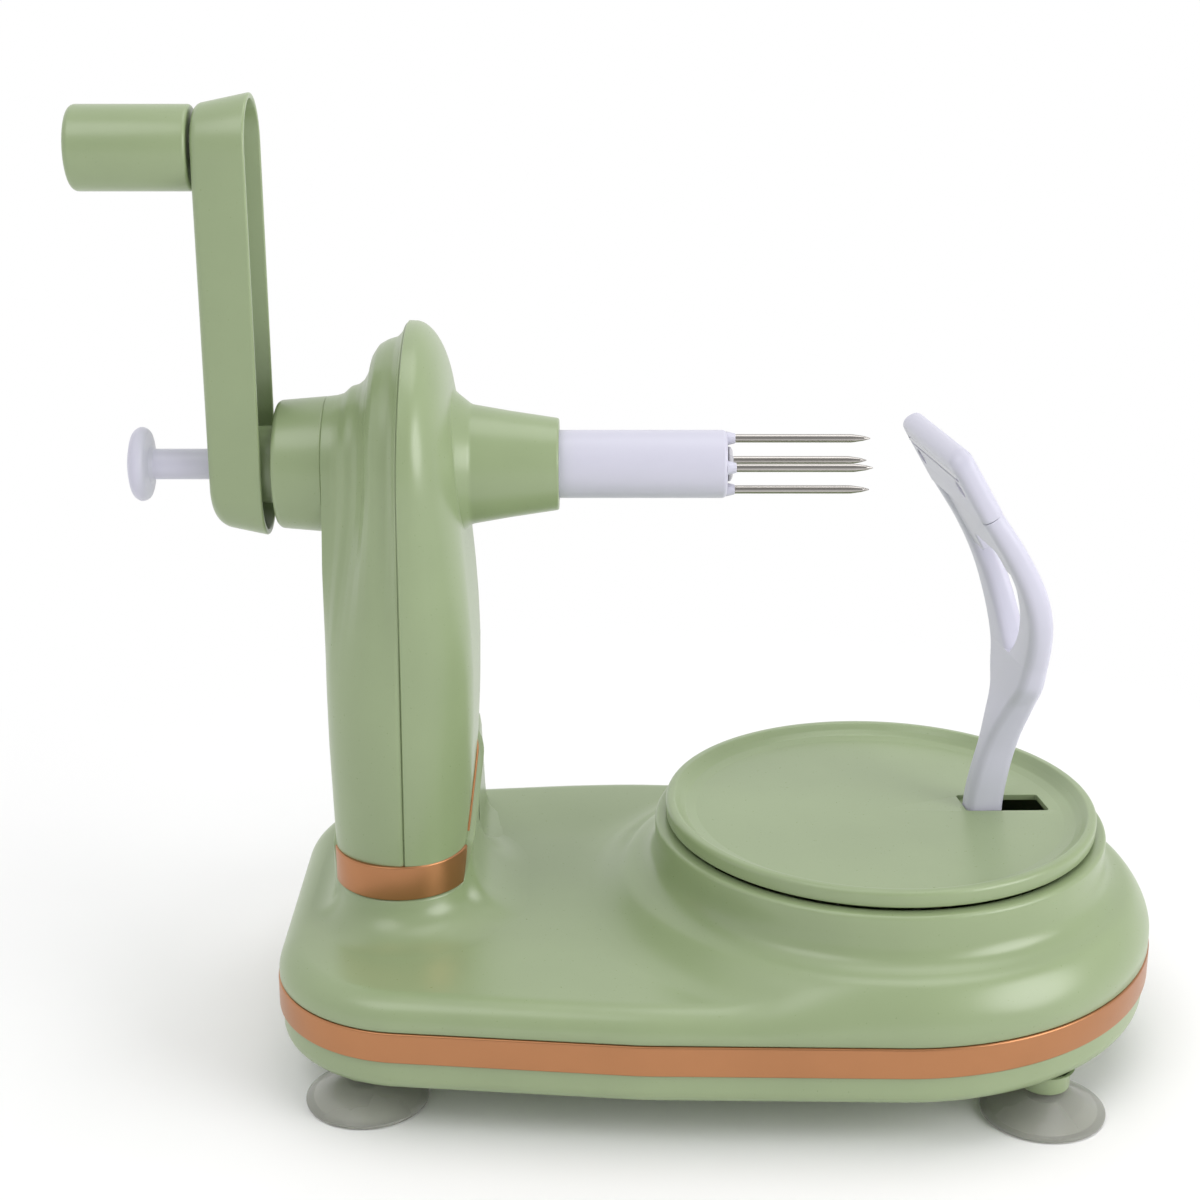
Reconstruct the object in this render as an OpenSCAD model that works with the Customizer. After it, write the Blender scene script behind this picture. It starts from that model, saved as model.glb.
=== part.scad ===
// Hand-cranked apple peeler on suction feet.
// Millimetres. +Z up, X along the fork axis from the crank to the turntable.
// The origin lies on the table, under the middle of the outer box.

/* [Main layout] */
// Height of the fork and crank axis above the table
axis_h = 148.3; // [146:0.1:152]
// Turntable axis, measured along X from the origin
turn_x = 62; // [60:0.5:66]
// Middle of the column along X
col_x = -58.9; // [-60:0.1:-58]
// Parting plane of the two column shells beside that middle
seam_shift = 2.9; // [2:0.1:3.4]

/* [Base] */
// Radius of the base's round end, about the turntable axis
base_end_r = 69.3; // [68:0.1:74]
// Radius of the two corners at the crank end
corner_r = 34.5; // [33:0.5:36]
// Distance of the corner centres from the middle plane
corner_y = 28; // [27:0.5:29]
// Radius of the base across the middle of its long sides
side_r = 68.2; // [67:0.1:69]
// Crank end of the base, along X
base_left_x = -88.2; // [-92:0.1:-87]
// Underside of the base above the table
under_z = 12; // [11:0.5:13]
// Lower edge of the metallic trim round the base
trim_z = 20.4; // [20:0.2:21]
// Height of the trim round the base
trim_h = 7.8; // [7:0.2:8]
// Top of the flat deck
deck_z = 36; // [35:0.5:37]
// Radius of the rounded edge of the deck
deck_round = 6.5; // [5:0.5:7]
// Radius of the rounded lower edge of the base
under_round = 7; // [4:0.5:8]
// Wall thickness of the moulded shells
wall = 2.2; // [1.8:0.1:2.4]
// Thickness of the metallic trim rings
trim_t = 1.2; // [0.8:0.1:1.6]
// How far the trim stands proud of the shells
trim_proud = 0.3; // [0.1:0.1:0.6]

/* [Pedestal and turntable] */
// Rim radius of the turntable plate
plate_r = 54.5; // [53:0.1:55.5]
// Top of the plate's rim above the table
plate_z = 60.4; // [59:0.1:62]
// Radius of the plate's sunk floor
floor_r = 46.6; // [45:0.1:48]
// Depth of the sunk floor below the rim
floor_drop = 2.2; // [1.4:0.1:2.6]
// Thickness of the plate
plate_t = 2.4; // [2:0.1:3]
// Depth of the plate's turned-down lip
lip_h = 4.2; // [3.6:0.1:5]
// Height of the gap between lip and pedestal
lip_gap = 0.9; // [0.5:0.1:1.5]
// Outside radius of the pedestal at its top
pedestal_r = 57; // [56.6:0.1:58]
// Spread of the pedestal's concave foot
flare = 5.5; // [4:0.5:6]
// Top of the step round that foot
ledge_z = 42.3; // [41.5:0.1:43]
// Radius of the step
ledge_r = 67.6; // [66.6:0.1:68]
// Radius of the step's rounded edge
ledge_round = 5; // [4:0.1:5]
// Radius of the fixed post that carries the turntable
post_r = 5; // [4:0.5:6]

/* [Column] */
// Width of the column foot along X
foot_w = 32; // [31:0.5:34]
// Half depth of the column foot along Y
foot_d = 27; // [25:0.5:29]
// Radius of the column head about the fork axis
head_r = 34.6; // [34:0.1:36]
// Length along X from the crank-side face to the nose's root
head_w = 35.6; // [34.6:0.2:37]
// Radius of the head's first step down on the crank side
step_r = 30; // [29.5:0.1:31]
// Radius of its second step, round the bearing boss
cap_r = 19.5; // [19:0.1:21]
// Swell of the fork side over the foot, at its widest height
bulge = 2.8; // [2:0.1:3.2]
// Height where the fork side is widest
bulge_z = 100; // [90:1:106]
// Lower edge of the column's metallic band
band_z = 45; // [44.5:0.5:46]
// Height of the column's metallic band
band_h = 9; // [7:0.5:10]
// Front end of the boot that grips the column's sides and back, along Y
boot_y = -15; // [-16:0.5:-13]
// Height of the boot at its front end
boot_z = 54; // [52:0.5:55]
// Rise of the boot's upper edge towards the back
boot_slope = 0.55; // [0.5:0.01:0.58]
// Thickness of the boot beside the column's foot
boot_t = 2.6; // [2.4:0.1:3]
// Back end of the boot's heel, along Y
heel_y = 57; // [54:0.5:58]
// Radius of the fillet between the column's foot and the deck
foot_fillet = 7; // [5:0.5:7]

/* [Bearings and nose] */
// Radius of the bearing boss on the crank side, at its root
boss_r = 16.4; // [16:0.1:17]
// Radius of that boss at its outer end
boss_tip_r = 15.3; // [14.6:0.1:15.8]
// Length of the bearing boss beyond the column
boss_len = 12; // [10:0.1:12.2]
// Root radius of the nose cone on the fork side
nose_root_r = 14.6; // [14:0.1:16]
// Tip radius of the nose cone
nose_tip_r = 11.1; // [10.5:0.1:12]
// Length of the nose cone
nose_len = 22; // [18:0.1:22.5]
// Wall of the bearing bushes
bush_t = 3; // [2:0.1:3.2]
// Radial running clearance of shafts and pins
run = 0.05; // [0.02:0.01:0.08]

/* [Crank] */
// Crank radius, from the fork axis to the grip axis
crank_r = 75.3; // [70:0.1:80]
// Half width of the crank arm
arm_w = 12.6; // [12:0.1:14]
// Depth of the crank arm's channel along X
arm_d = 13; // [11:0.1:14]
// Wall of the crank arm
arm_t = 2; // [1.6:0.1:2.6]
// Reach of the arm below the fork axis
arm_tail = 17.4; // [16:0.1:20]
// Running gap between crank arm and boss
arm_gap = 0.9; // [0.6:0.1:1.2]
// Radius of the crank grip
grip_r = 9.9; // [9:0.1:11]
// Length of the crank grip
grip_len = 28.2; // [24:0.1:29]
// Running gap between grip and crank arm
grip_gap = 0.8; // [0.5:0.1:1.2]
// Radius of the grip's pin
grip_pin_r = 4; // [3:0.1:4.5]

/* [Fork and ejector] */
// Outside radius of the hollow drive shaft
shaft_r = 5.5; // [5.2:0.1:5.8]
// Radius of the ejector rod
rod_r = 3.7; // [3.2:0.1:3.9]
// Radius of the white fork tube
tube_r = 8.25; // [8:0.05:8.8]
// Length of the white fork tube
tube_len = 40.4; // [36:0.1:44]
// Radius of a fork prong
prong_r = 1.03; // [0.8:0.01:1.2]
// Radius of the prongs' pitch circle
prong_pitch_r = 6.25; // [6.2:0.05:6.6]
// Length of a prong beyond the tube
prong_len = 34.7; // [30:0.1:36]
// Length of the conical prong tip
prong_tip = 4.8; // [3:0.1:6]
// Turn of the prong square about the fork axis
prong_turn = -6; // [-15:1:15]
// Radius of the ejector's push knob
knob_r = 9.1; // [8:0.1:10]
// Thickness of the push knob
knob_t = 5.8; // [4:0.1:7]
// Travel of the ejector
eject_travel = 15.3; // [12:0.1:16]

/* [Gears] */
// Module of the worm drive
worm_m = 1; // [0.96:0.01:1.04]
// Pitch radius of the worm
worm_pitch_r = 8; // [7.8:0.1:8.2]
// Teeth of the worm wheel
wheel_teeth = 15; // [14:1:16]
// Full turns of the worm's thread
worm_turns = 5; // [3:1:5]
// Module of the flat gears in the base
gear_m = 1.5; // [1.46:0.01:1.54]
// Teeth of the base pinion
pinion_teeth = 20; // [18:1:22]
// Teeth of each idler gear
idler_teeth = 30; // [29:1:31]
// Teeth of the turntable gear
table_teeth = 32; // [30:1:34]
// Height of the flat gears' lower face
gear_z = 19.5; // [19:0.1:20.5]
// Face width of the flat gears
gear_t = 6; // [4:0.5:6.5]
// Thinning of each flat gear's tooth flank for running play
play = 0.12; // [0.08:0.01:0.16]
// Radius of the upright shaft and the idler pins
axle_r = 3; // [2.5:0.1:3.2]
// Thinning of the worm wheel's tooth flanks for running play
worm_play = 0.3; // [0.25:0.01:0.35]
// Face width of the worm wheel
wheel_t = 6; // [4:0.5:7]

/* [Peeler arm] */
// Turn of the arm's plane about the turntable axis at rest
arm_turn = 8; // [0:1:12]
// Slot skew against the arm's plane
slot_skew = 7; // [0:0.5:8]
// Inner end of the slot from the turntable axis
slot_in = 22.2; // [21.6:0.1:22.4]
// Outer end of the slot from the turntable axis
slot_out = 43.2; // [42.6:0.1:45]
// Width of the slot across the arm's plane
slot_w = 10; // [9.8:0.1:11]
// Arm's hinge axis from the turntable axis
hinge_u = 27.5; // [27:0.1:28]
// Height of the arm's hinge axis
hinge_z = 36; // [35.5:0.1:37]
// Radius of the hinge pin
hinge_r = 2; // [1.6:0.1:2.4]
// Half thickness of the arm's stem across its plane
stem_v = 3.3; // [3:0.1:3.4]
// Half width of the arm's fork and of the blade carrier
fork_v = 22.5; // [21:0.1:24]
// Half width of the carrier's neck between the fork's prongs
neck_v = 18; // [17.5:0.1:18.4]

/* [Blade carrier] */
// Seam between fork and carrier, from the turntable axis
head_u = 18.5; // [18:0.1:19]
// Height of that seam above the table
head_z = 139.7; // [139:0.1:140.5]
// Lean of the carrier from the vertical, towards the fruit
head_lean = 30.5; // [29:0.5:32]
// Length of the carrier's wide part along the lean
head_len = 19; // [17:0.1:21]
// Thickness of the carrier
head_t = 5.2; // [4.8:0.1:5.6]
// Length of the carrier's neck
neck_len = 19; // [17:0.1:20]
// Thickness of the carrier's neck
neck_t = 3; // [2.4:0.1:3.4]
// Length of the blade
blade_len = 40; // [36:0.5:41]
// Width of the blade
blade_w = 4.4; // [3.6:0.1:4.8]
// Thickness of the blade
blade_t = 0.6; // [0.4:0.1:0.8]
// Distance of the blade's slit from the seam
slit_at = 13; // [12:0.1:14]
// Width of the slit
slit_w = 2.4; // [2:0.1:2.6]

/* [Feet] */
// Rim radius of a suction cup
cup_r = 15; // [13:0.1:16]
// Height of a suction cup
cup_h = 7; // [6:0.1:8]
// Radius of the cup's stem
stem_r = 4; // [3:0.1:5]
// Foot positions at the crank end, along X
foot_left_x = -66; // [-68:0.5:-62]
// Foot positions at the crank end, along Y
foot_left_y = 43.5; // [40:0.5:45]
// Foot positions at the turntable end, along X
foot_right_x = 97.7; // [94:0.1:100]
// Foot positions at the turntable end, along Y
foot_right_y = 49.4; // [44:0.1:50]

/* [Fasteners] */
// Thread radius of the screws
screw_r = 1.5; // [1.2:0.1:1.8]
// Head radius of the screws
screw_head_r = 2.9; // [2.6:0.1:3.4]
// Head height of the screws
screw_head_h = 2; // [1.6:0.1:2.4]

/* [Hidden] */
$fn = 64;

green = [0.63, 0.71, 0.54];
white = [0.88, 0.87, 0.92];
copper = [0.76, 0.50, 0.34];
steel = [0.72, 0.72, 0.73];
nylon = [0.90, 0.89, 0.84];
smoke = [0.72, 0.74, 0.74];

// Small gap of seated pieces, and a cut's overrun past a face
seat = 0.02;
cut = 1;
// Clear gap kept between pieces that pass each other
pass = 0.3;

// Base levels and places
shell_z = trim_z + trim_h;
floor_z = under_z + wall + seat;
corner_x = base_left_x + corner_r;
side_x = (turn_x + corner_x) / 2;
// Level inside the deck's wall where the forms that stand on the deck begin
deck_low = deck_z - wall - pass;
foot_spots = [for (s = [-1, 1]) each [[foot_left_x, s * foot_left_y], [foot_right_x, s * foot_right_y]]];
foot_boss_r = stem_r + 2;
skirt_t = 1.8;
under_inset = 0.6;

// Pedestal and turntable levels
well_r = pedestal_r - 2 * wall;
lip_z = plate_z - lip_h;
pedestal_z = lip_z - lip_gap;
flare_r = pedestal_r + flare;
plate_floor = plate_z - floor_drop;
plate_under = plate_floor - plate_t;
hub_r = post_r + 4;
post_top = plate_under - 6;
// Screws that hold the base together: under the deck and under the pedestal
screw_post_r = 3.6;
screw_deg = 35;
screw_ring = (well_r + flare_r) / 2;
deck_screws = [for (s = [-1, 1]) each [[col_x + 19, s * 46], [-2, s * 50]]];
ring_screws = [for (s = [-1, 1]) [turn_x + screw_ring * cos(screw_deg), s * screw_ring * sin(screw_deg)]];
screw_len = 14;

// Column faces, and the screws across its parting plane
seam_x = col_x + seam_shift;
crank_face = col_x - head_w / 2;
fork_face = col_x + head_w / 2;
band_top = band_z + band_h;
// Side view of the boot's heel: shares of its length and of its height
heel_curve = [[0, 1], [0.1, 0.97], [0.23, 0.81], [0.37, 0.6], [0.53, 0.36], [0.73, 0.15], [1, 0]];
band_grow = 0.05;
band_t = 0.8;
column_screw_spots = [[-15, 68], [-15, 108], [1, 88]];
screw_boss_r = 4;
// Half sections of the column head about the fork axis: radius, and distance from the parting plane.
// The fork side is a dome; the crank side steps down from its rim in two terraces.
dome_section = [[0, -2], [head_r - 1.6, -2], [head_r, 2], [head_r - 1.4, 4.5], [head_r - 4.6, 7.6],
    [head_r - 7.1, 8.8], [head_r - 10.1, 9.8], [head_r - 14.6, 10.9], [0, 11.7]];
rim_section = [[0, 2], [head_r, 2], [head_r - 1.2, 0], [head_r - 3.6, -1.5], [0, -1.5]];
step_section = [[0, 2], [step_r + 0.6, 2], [step_r + 0.6, -1.4], [step_r, -4.3], [step_r - 1, -6.3],
    [step_r - 3.2, -8], [step_r - 7.4, -9.7], [0, -9.7]];
cap_section = [[0, 0], [cap_r + 1, -8], [cap_r, -12.2], [cap_r - 1.1, -14.5], [cap_r - 2.5, -16.5],
    [boss_r, crank_face - seam_x], [0, crank_face - seam_x]];
// Crank side, from the boss outwards
boss_end = crank_face - boss_len;
nose_end = fork_face + nose_len;
nose_in = 5;
bush_r = shaft_r + run + bush_t;
arm_x1 = boss_end - arm_gap;
arm_x0 = arm_x1 - arm_d;
grip_z = axis_h + crank_r;
grip_x1 = arm_x0 - grip_gap;
grip_x0 = grip_x1 - grip_len;
pin_head_r = grip_pin_r + 2;
pin_head_t = 1.6;
cap_t = 1.6;
knob_x1 = arm_x0 - eject_travel - 0.25;
knob_x0 = knob_x1 - knob_t;

// Fork side
tube_x0 = nose_end + 0.2;
tube_x1 = tube_x0 + tube_len;
shaft_x1 = tube_x0 + 0.7 * tube_len;
prong_x0 = tube_x1 - 9;
prong_x1 = tube_x1 + prong_len;
collar_r = prong_r + 0.65;
collar_h = 2;
tip_r = prong_pitch_r - collar_r - pass;
tip_t = 3;

// Worm drive
lead = PI * worm_m;
wheel_x = seam_x;
wheel_pitch_r = worm_m * wheel_teeth / 2;
wheel_tip_r = wheel_pitch_r + 0.95 * worm_m;
wheel_y = worm_pitch_r + wheel_pitch_r;
worm_tip_r = worm_pitch_r + 0.9 * worm_m;
worm_root_r = worm_pitch_r - 1.25 * worm_m;
worm_half = lead / 4 - play / 2;
worm_steps = 24;
// A wheel tooth points at the worm where a groove of the thread faces it
wheel_phase = -90 + (worm_turns + 1) % 2 * 180 / wheel_teeth;
bracket_z = axis_h + wheel_t / 2 + 1;
bracket_t = 4.5;

// Flat gears in the base: pinion, two idlers and the turntable gear in one train
pinion_at = [wheel_x, wheel_y];
table_at = [turn_x, 0];
reach_1 = gear_m * (pinion_teeth + idler_teeth) / 2;
reach_2 = gear_m * idler_teeth;
reach_3 = gear_m * (idler_teeth + table_teeth) / 2;
idler_1_at = pinion_at + [reach_1, 0];
span = norm(table_at - idler_1_at);
along = (table_at - idler_1_at) / span;
foot_along = (pow(reach_2, 2) - pow(reach_3, 2) + pow(span, 2)) / (2 * span);
foot_off = sqrt(pow(reach_2, 2) - pow(foot_along, 2));
idler_2_at = idler_1_at + foot_along * along + foot_off * [-along[1], along[0]];
aim_2 = atan2(idler_2_at[1] - idler_1_at[1], idler_2_at[0] - idler_1_at[0]);
aim_3 = atan2(table_at[1] - idler_2_at[1], table_at[0] - idler_2_at[0]);
phase_1 = meshed(0, pinion_teeth, idler_teeth, 0);
phase_2 = meshed(phase_1, idler_teeth, idler_teeth, aim_2);
phase_3 = meshed(phase_2, idler_teeth, table_teeth, aim_3);
gear_boss_r = axle_r + 2;

// Peeler arm in its own plane: u outwards from the turntable axis, v across it
arm_shift = -0.4;
slot_mid = arm_shift + 1.25;
slot_drift = (slot_out - slot_in) * tan(slot_skew);
eye_r = 5.4;
ear_t = 3;
ear_low = hinge_z - eye_r - 0.2;
spring_w = 3;
ear_in = stem_v + pass;
// Side view of the arm: u, z and half thickness along its spine
spine = [[hinge_u, hinge_z, 4.8], [hinge_u, plate_z - 2, 4.8], [31, 77, 4.2], [33.6, 88, 3.6],
    [34.4, 99, 2.9], [33.2, 110, 2.7], [30.2, 120, 2.7], [25, 130, 2.7], [head_u, head_z, head_t / 2],
    [head_u - 4, head_z + 6.8, head_t / 2]];
// Front view of the arm: height and half width of its outline, then of its window
outline = [[hinge_z - 8, stem_v], [plate_z + 4, stem_v], [76, 4.2], [86, 8], [92, 12], [98, 14.2],
    [105, 17.6], [112, 20.6], [120, fork_v - 0.2], [128, fork_v], [head_z + 10, fork_v]];
window = [[97, 0.6], [98.5, 4.5], [101, 8], [105, 11.6], [110, 14.6], [116, 17],
    [122, neck_v + 0.2], [head_z + 10, neck_v + 0.2]];
spline_steps = 4;

// Angle of a gear's first tooth when it meshes with one before it, seen in the direction aim
function meshed(before, teeth_before, teeth, aim) =
    aim + 180 + 180 / teeth - (before - aim) * teeth_before / teeth;

// Involute angle and half tooth angle at a radius, for a 20 degree pressure angle
function involute(a) = tan(a) * 180 / PI - a;
function half_tooth(r, pitch_r, teeth, thin) =
    let (base_r = pitch_r * cos(20), at = max(r, base_r))
    90 / teeth - thin / pitch_r * 180 / PI + involute(20) - involute(acos(base_r / at));
function gear_points(teeth, m, thin) =
    let (pitch_r = m * teeth / 2)
    let (radii = [pitch_r - 1.25 * m, pitch_r - 0.5 * m, pitch_r, pitch_r + 0.95 * m])
    [for (k = [0 : teeth - 1], side = [-1, 1], i = [0 : 3])
        let (r = radii[side < 0 ? i : 3 - i], a = k * 360 / teeth + side * half_tooth(r, pitch_r, teeth, thin))
        r * [cos(a), sin(a)]];

// Smooth curve through a list of points
function curve_at(p, i, t) =
    let (n = len(p) - 1, a = p[max(i - 1, 0)], b = p[i], c = p[i + 1], d = p[min(i + 2, n)])
    0.5 * (2 * b + (c - a) * t + (2 * a - 5 * b + 4 * c - d) * t * t + (3 * b - a - 3 * c + d) * t * t * t);
function curve(p) = concat([for (i = [0 : len(p) - 2], k = [0 : spline_steps - 1])
    curve_at(p, i, k / spline_steps)], [p[len(p) - 1]]);
function unit(v) = v / norm(v);
function reversed(p) = [for (i = [len(p) - 1 : -1 : 0]) p[i]];

// Outline of a band of varying thickness along a spine
function band_side(p, side) = [for (i = [0 : len(p) - 1])
    let (a = p[max(i - 1, 0)], b = p[min(i + 1, len(p) - 1)], d = unit([b[0] - a[0], b[1] - a[1]]))
    [p[i][0], p[i][1]] + side * p[i][2] * [d[1], -d[0]]];
function band_points(p) = concat(band_side(p, 1), reversed(band_side(p, -1)));
function mirrored_points(p) = concat([for (q = p) [q[1], q[0]]], [for (q = reversed(p)) [-q[1], q[0]]]);

module along_x(x0) {
    translate([x0, 0, axis_h]) rotate([0, 90, 0]) children();
}

module tube(r_out, r_in, h) {
    difference() {
        cylinder(r = r_out, h = h);
        translate([0, 0, -cut]) cylinder(r = r_in, h = h + 2 * cut);
    }
}

// Half section of a slab's edge: width from a centre, height and rounding of the far corner
module edge_profile(w, h, round) {
    if (round > 0) {
        square([w - round, h]);
        square([w, h - round]);
        translate([w - round, h - round]) intersection() {
            circle(round, $fn = 28);
            square(round);
        }
    } else {
        square([w, h]);
    }
}

// Slab with the base's outline, its upper edge rounded: a large disc at one end, one that bows the long
// sides and two corner discs
module slab(h, round, inset) {
    hull() {
        translate([turn_x, 0, 0]) rotate_extrude($fn = 80) edge_profile(base_end_r - inset, h, round);
        translate([side_x, 0, 0]) rotate_extrude($fn = 80) edge_profile(side_r - inset, h, round);
        for (s = [-1, 1]) translate([corner_x, s * corner_y, 0])
            rotate_extrude($fn = 48) edge_profile(corner_r - inset, h, round);
    }
}

// Plan of the column foot, grown by an amount
module foot_plan(grow) {
    end_y = foot_d - foot_w / 2;
    translate([col_x, 0]) {
        square([foot_w + 2 * grow, 2 * end_y], center = true);
        for (s = [-1, 1]) translate([0, s * end_y]) circle(foot_w / 2 + grow);
    }
}

module base_bottom() color(green) {
    difference() {
        union() {
            difference() {
                translate([0, 0, trim_z]) mirror([0, 0, 1])
                    slab(trim_z - under_z, under_round, under_inset);
                translate([0, 0, trim_z + cut]) mirror([0, 0, 1])
                    slab(trim_z - floor_z + cut, under_round - wall, under_inset + wall);
            }
            for (p = foot_spots) translate([p[0], p[1], cup_h + pass])
                cylinder(r = foot_boss_r, h = floor_z + 3 - cup_h);
            for (p = [pinion_at, idler_1_at, idler_2_at]) translate([p[0], p[1], under_z + seat])
                cylinder(r = gear_boss_r, h = gear_z - under_z - pass);
            translate([turn_x, 0, under_z + seat]) cylinder(r = hub_r, h = gear_z - under_z - pass);
        }
        for (p = foot_spots) translate([p[0], p[1], 0]) cylinder(r = stem_r + seat, h = floor_z + seat);
        for (p = [pinion_at, idler_1_at, idler_2_at]) translate([p[0], p[1], under_z + 1.4])
            cylinder(r = axle_r + (p == pinion_at ? run : seat), h = gear_z);
        translate([turn_x, 0, under_z + 1.4]) cylinder(r = post_r + seat, h = gear_z);
        for (p = concat(deck_screws, ring_screws)) translate([p[0], p[1], 0]) {
            cylinder(r = screw_r + 0.2, h = trim_z);
            cylinder(r = screw_head_r + 0.2, h = under_z + 0.5);
        }
    }
}

module base_trim() color(copper) translate([0, 0, trim_z + seat]) difference() {
    slab(trim_h - 2 * seat, 0, -trim_proud);
    translate([0, 0, -cut]) slab(trim_h + 2 * cut, 0, trim_t - trim_proud);
}

module base_shell() color(green) difference() {
    union() {
        difference() {
            translate([0, 0, shell_z]) slab(deck_z - shell_z, deck_round, 0);
            translate([0, 0, shell_z - cut])
                slab(deck_z - shell_z - wall + cut, deck_round - wall, wall);
        }
        translate([0, 0, trim_z + seat]) difference() {
            slab(trim_h + cut, 0, trim_t - trim_proud + seat);
            translate([0, 0, -cut]) slab(trim_h + 3 * cut, 0, trim_t - trim_proud + seat + skirt_t);
        }
        pedestal();
        boot();
        foot_flare();
        translate([0, 0, deck_z - wall / 2]) linear_extrude(band_z - deck_z + wall / 2)
            foot_plan(band_grow + band_t);
        for (p = deck_screws) translate([p[0], p[1], floor_z])
            cylinder(r = screw_post_r, h = deck_z - floor_z - wall / 2);
        for (p = ring_screws) translate([p[0], p[1], floor_z])
            cylinder(r = screw_post_r, h = deck_z - floor_z - wall / 2);
    }
    translate([turn_x, 0, 0]) cylinder(r = well_r, h = plate_z);
    translate([0, 0, shell_z]) linear_extrude(band_z) foot_plan(-wall - 1);
    heel_room();
    for (p = concat(deck_screws, ring_screws)) translate([p[0], p[1], 0]) cylinder(r = screw_r, h = shell_z);
}

// Round wall under the turntable plate, with a concave foot on a rounded step
module pedestal() {
    flare_top = ledge_z + flare - seat;
    translate([turn_x, 0, 0]) rotate_extrude() {
        difference() {
            union() {
                translate([0, deck_low]) square([pedestal_r, pedestal_z - deck_low]);
                translate([0, deck_low]) square([flare_r, flare_top - deck_low]);
            }
            translate([flare_r, flare_top]) circle(flare);
        }
        translate([0, deck_low]) square([ledge_r - ledge_round, ledge_z - deck_low]);
        translate([0, deck_low]) square([ledge_r, ledge_z - deck_low - ledge_round]);
        translate([ledge_r - ledge_round, ledge_z - ledge_round]) intersection() {
            circle(ledge_round);
            square(ledge_round);
        }
    }
}

// Upstand of the base round the column's sides and back, with a hollow heel sloping down behind it
module boot() {
    half = foot_w / 2 + boot_t;
    top = boot_z + (foot_d - boot_y) * boot_slope;
    heel = [for (q = heel_curve) [foot_d + q[0] * (heel_y - foot_d), deck_z + q[1] * (top - deck_z)]];
    difference() {
        intersection() {
            translate([0, 0, deck_low]) linear_extrude(top - deck_low) {
                foot_plan(boot_t);
                translate([col_x - half, 0]) square([2 * half, heel_y]);
            }
            boot_prism(half + cut, [[boot_y, deck_low], [boot_y, boot_z], each heel, [heel_y, deck_low]]);
        }
        column_room();
    }
}

// Hollow inside the heel, open to the inside of the base
module heel_room() {
    top = boot_z + (foot_d - boot_y) * boot_slope;
    roof = [for (k = [2:5]) [foot_d + heel_curve[k][0] * (heel_y - foot_d) - wall,
        deck_z + heel_curve[k][1] * (top - deck_z) - wall]];
    boot_prism(foot_w / 2 + boot_t - 2 * wall, [[roof[0][0], shell_z], each roof, [roof[3][0], shell_z]]);
}

// Side view of the boot or its hollow, given a width along X about the column
module boot_prism(half, side)
    translate([col_x - half, 0, 0]) rotate([90, 0, 90]) linear_extrude(2 * half) polygon(side);

// Room for the column's lower end, widening upwards as the shells do
module column_room() {
    rise = bulge_z - band_top;
    end_y = foot_d - foot_w / 2;
    half = foot_w / 2 + run;
    lean = (head_r - foot_d) / (axis_h - band_top);
    side = half + bulge + pass;
    translate([0, 0, band_z]) linear_extrude(band_h + seat) foot_plan(run);
    for (s = [-1, 1]) translate([col_x, s * end_y, band_top])
        cylinder(r1 = half, r2 = half + rise * lean + pass, h = rise);
    translate([col_x, end_y, band_top]) rotate([90, 0, 0]) linear_extrude(2 * end_y)
        polygon([[-half, 0], [half, 0], [side, rise], [-side, rise]]);
}

// Concave fillet between the collar under the column's band and the deck
module foot_flare() {
    end_y = foot_d - foot_w / 2;
    for (s = [-1, 1]) translate([col_x, s * end_y, 0]) rotate_extrude() foot_flare_section();
    for (s = [0, 1]) translate([col_x, 0, 0]) mirror([s, 0, 0]) translate([0, end_y, 0])
        rotate([90, 0, 0]) linear_extrude(2 * end_y) foot_flare_section();
}

// The fillet's circle runs a little into collar and deck, so that it meets both at an angle
module foot_flare_section() {
    in_r = foot_w / 2 + band_grow + band_t;
    rise = deck_z + foot_fillet - seat;
    difference() {
        translate([in_r - cut, deck_low]) square([foot_fillet + cut - seat, rise - deck_low]);
        translate([in_r + foot_fillet - seat, rise]) circle(foot_fillet);
    }
}

module base_screws() color(steel)
    for (p = concat(deck_screws, ring_screws)) translate([p[0], p[1], under_z + 0.5]) {
        translate([0, 0, -screw_head_h + 2]) screw(screw_len);
    }

// Screw with its head's underside at the origin, pointing up
module screw(len) {
    translate([0, 0, -screw_head_h]) cylinder(r = screw_head_r, h = screw_head_h);
    translate([0, 0, -seat]) cylinder(r = screw_r - seat, h = len);
}

module suction_cups() color(smoke) for (p = foot_spots) translate([p[0], p[1], 0])
    rotate_extrude() polygon([[0.83 * cup_r, 0], [cup_r, 0], [cup_r, 0.12 * cup_h], [0.72 * cup_r, 0.5 * cup_h],
        [0.42 * cup_r, 0.86 * cup_h], [stem_r, cup_h], [stem_r, floor_z - seat], [0, floor_z - seat],
        [0, 0.6 * cup_h], [0.32 * cup_r, 0.6 * cup_h], [0.62 * cup_r, 0.32 * cup_h]]);

module turntable_post() color(steel) translate([turn_x, 0, under_z + 1.4 + seat])
    cylinder(r = post_r, h = post_top - under_z - 1.4 - run);

module idler_pins() color(steel) for (p = [idler_1_at, idler_2_at])
    translate([p[0], p[1], under_z + 1.4 + seat]) cylinder(r = axle_r, h = gear_z + gear_t + 1 - under_z - 1.4);

module column_band() color(copper) difference() {
    translate([0, 0, band_z + seat]) linear_extrude(band_h) foot_plan(band_grow + band_t);
    translate([0, 0, band_z - cut]) linear_extrude(band_h + 2 * cut) foot_plan(band_grow);
    translate([col_x - foot_w, boot_y - pass, band_z - cut]) cube([2 * foot_w, 2 * foot_d, band_h + 2 * cut]);
}

// Straight foot of the column inside its band, above a level
module column_foot(inset, low) {
    translate([0, 0, low]) linear_extrude(band_top - low) foot_plan(-inset);
}

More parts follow.
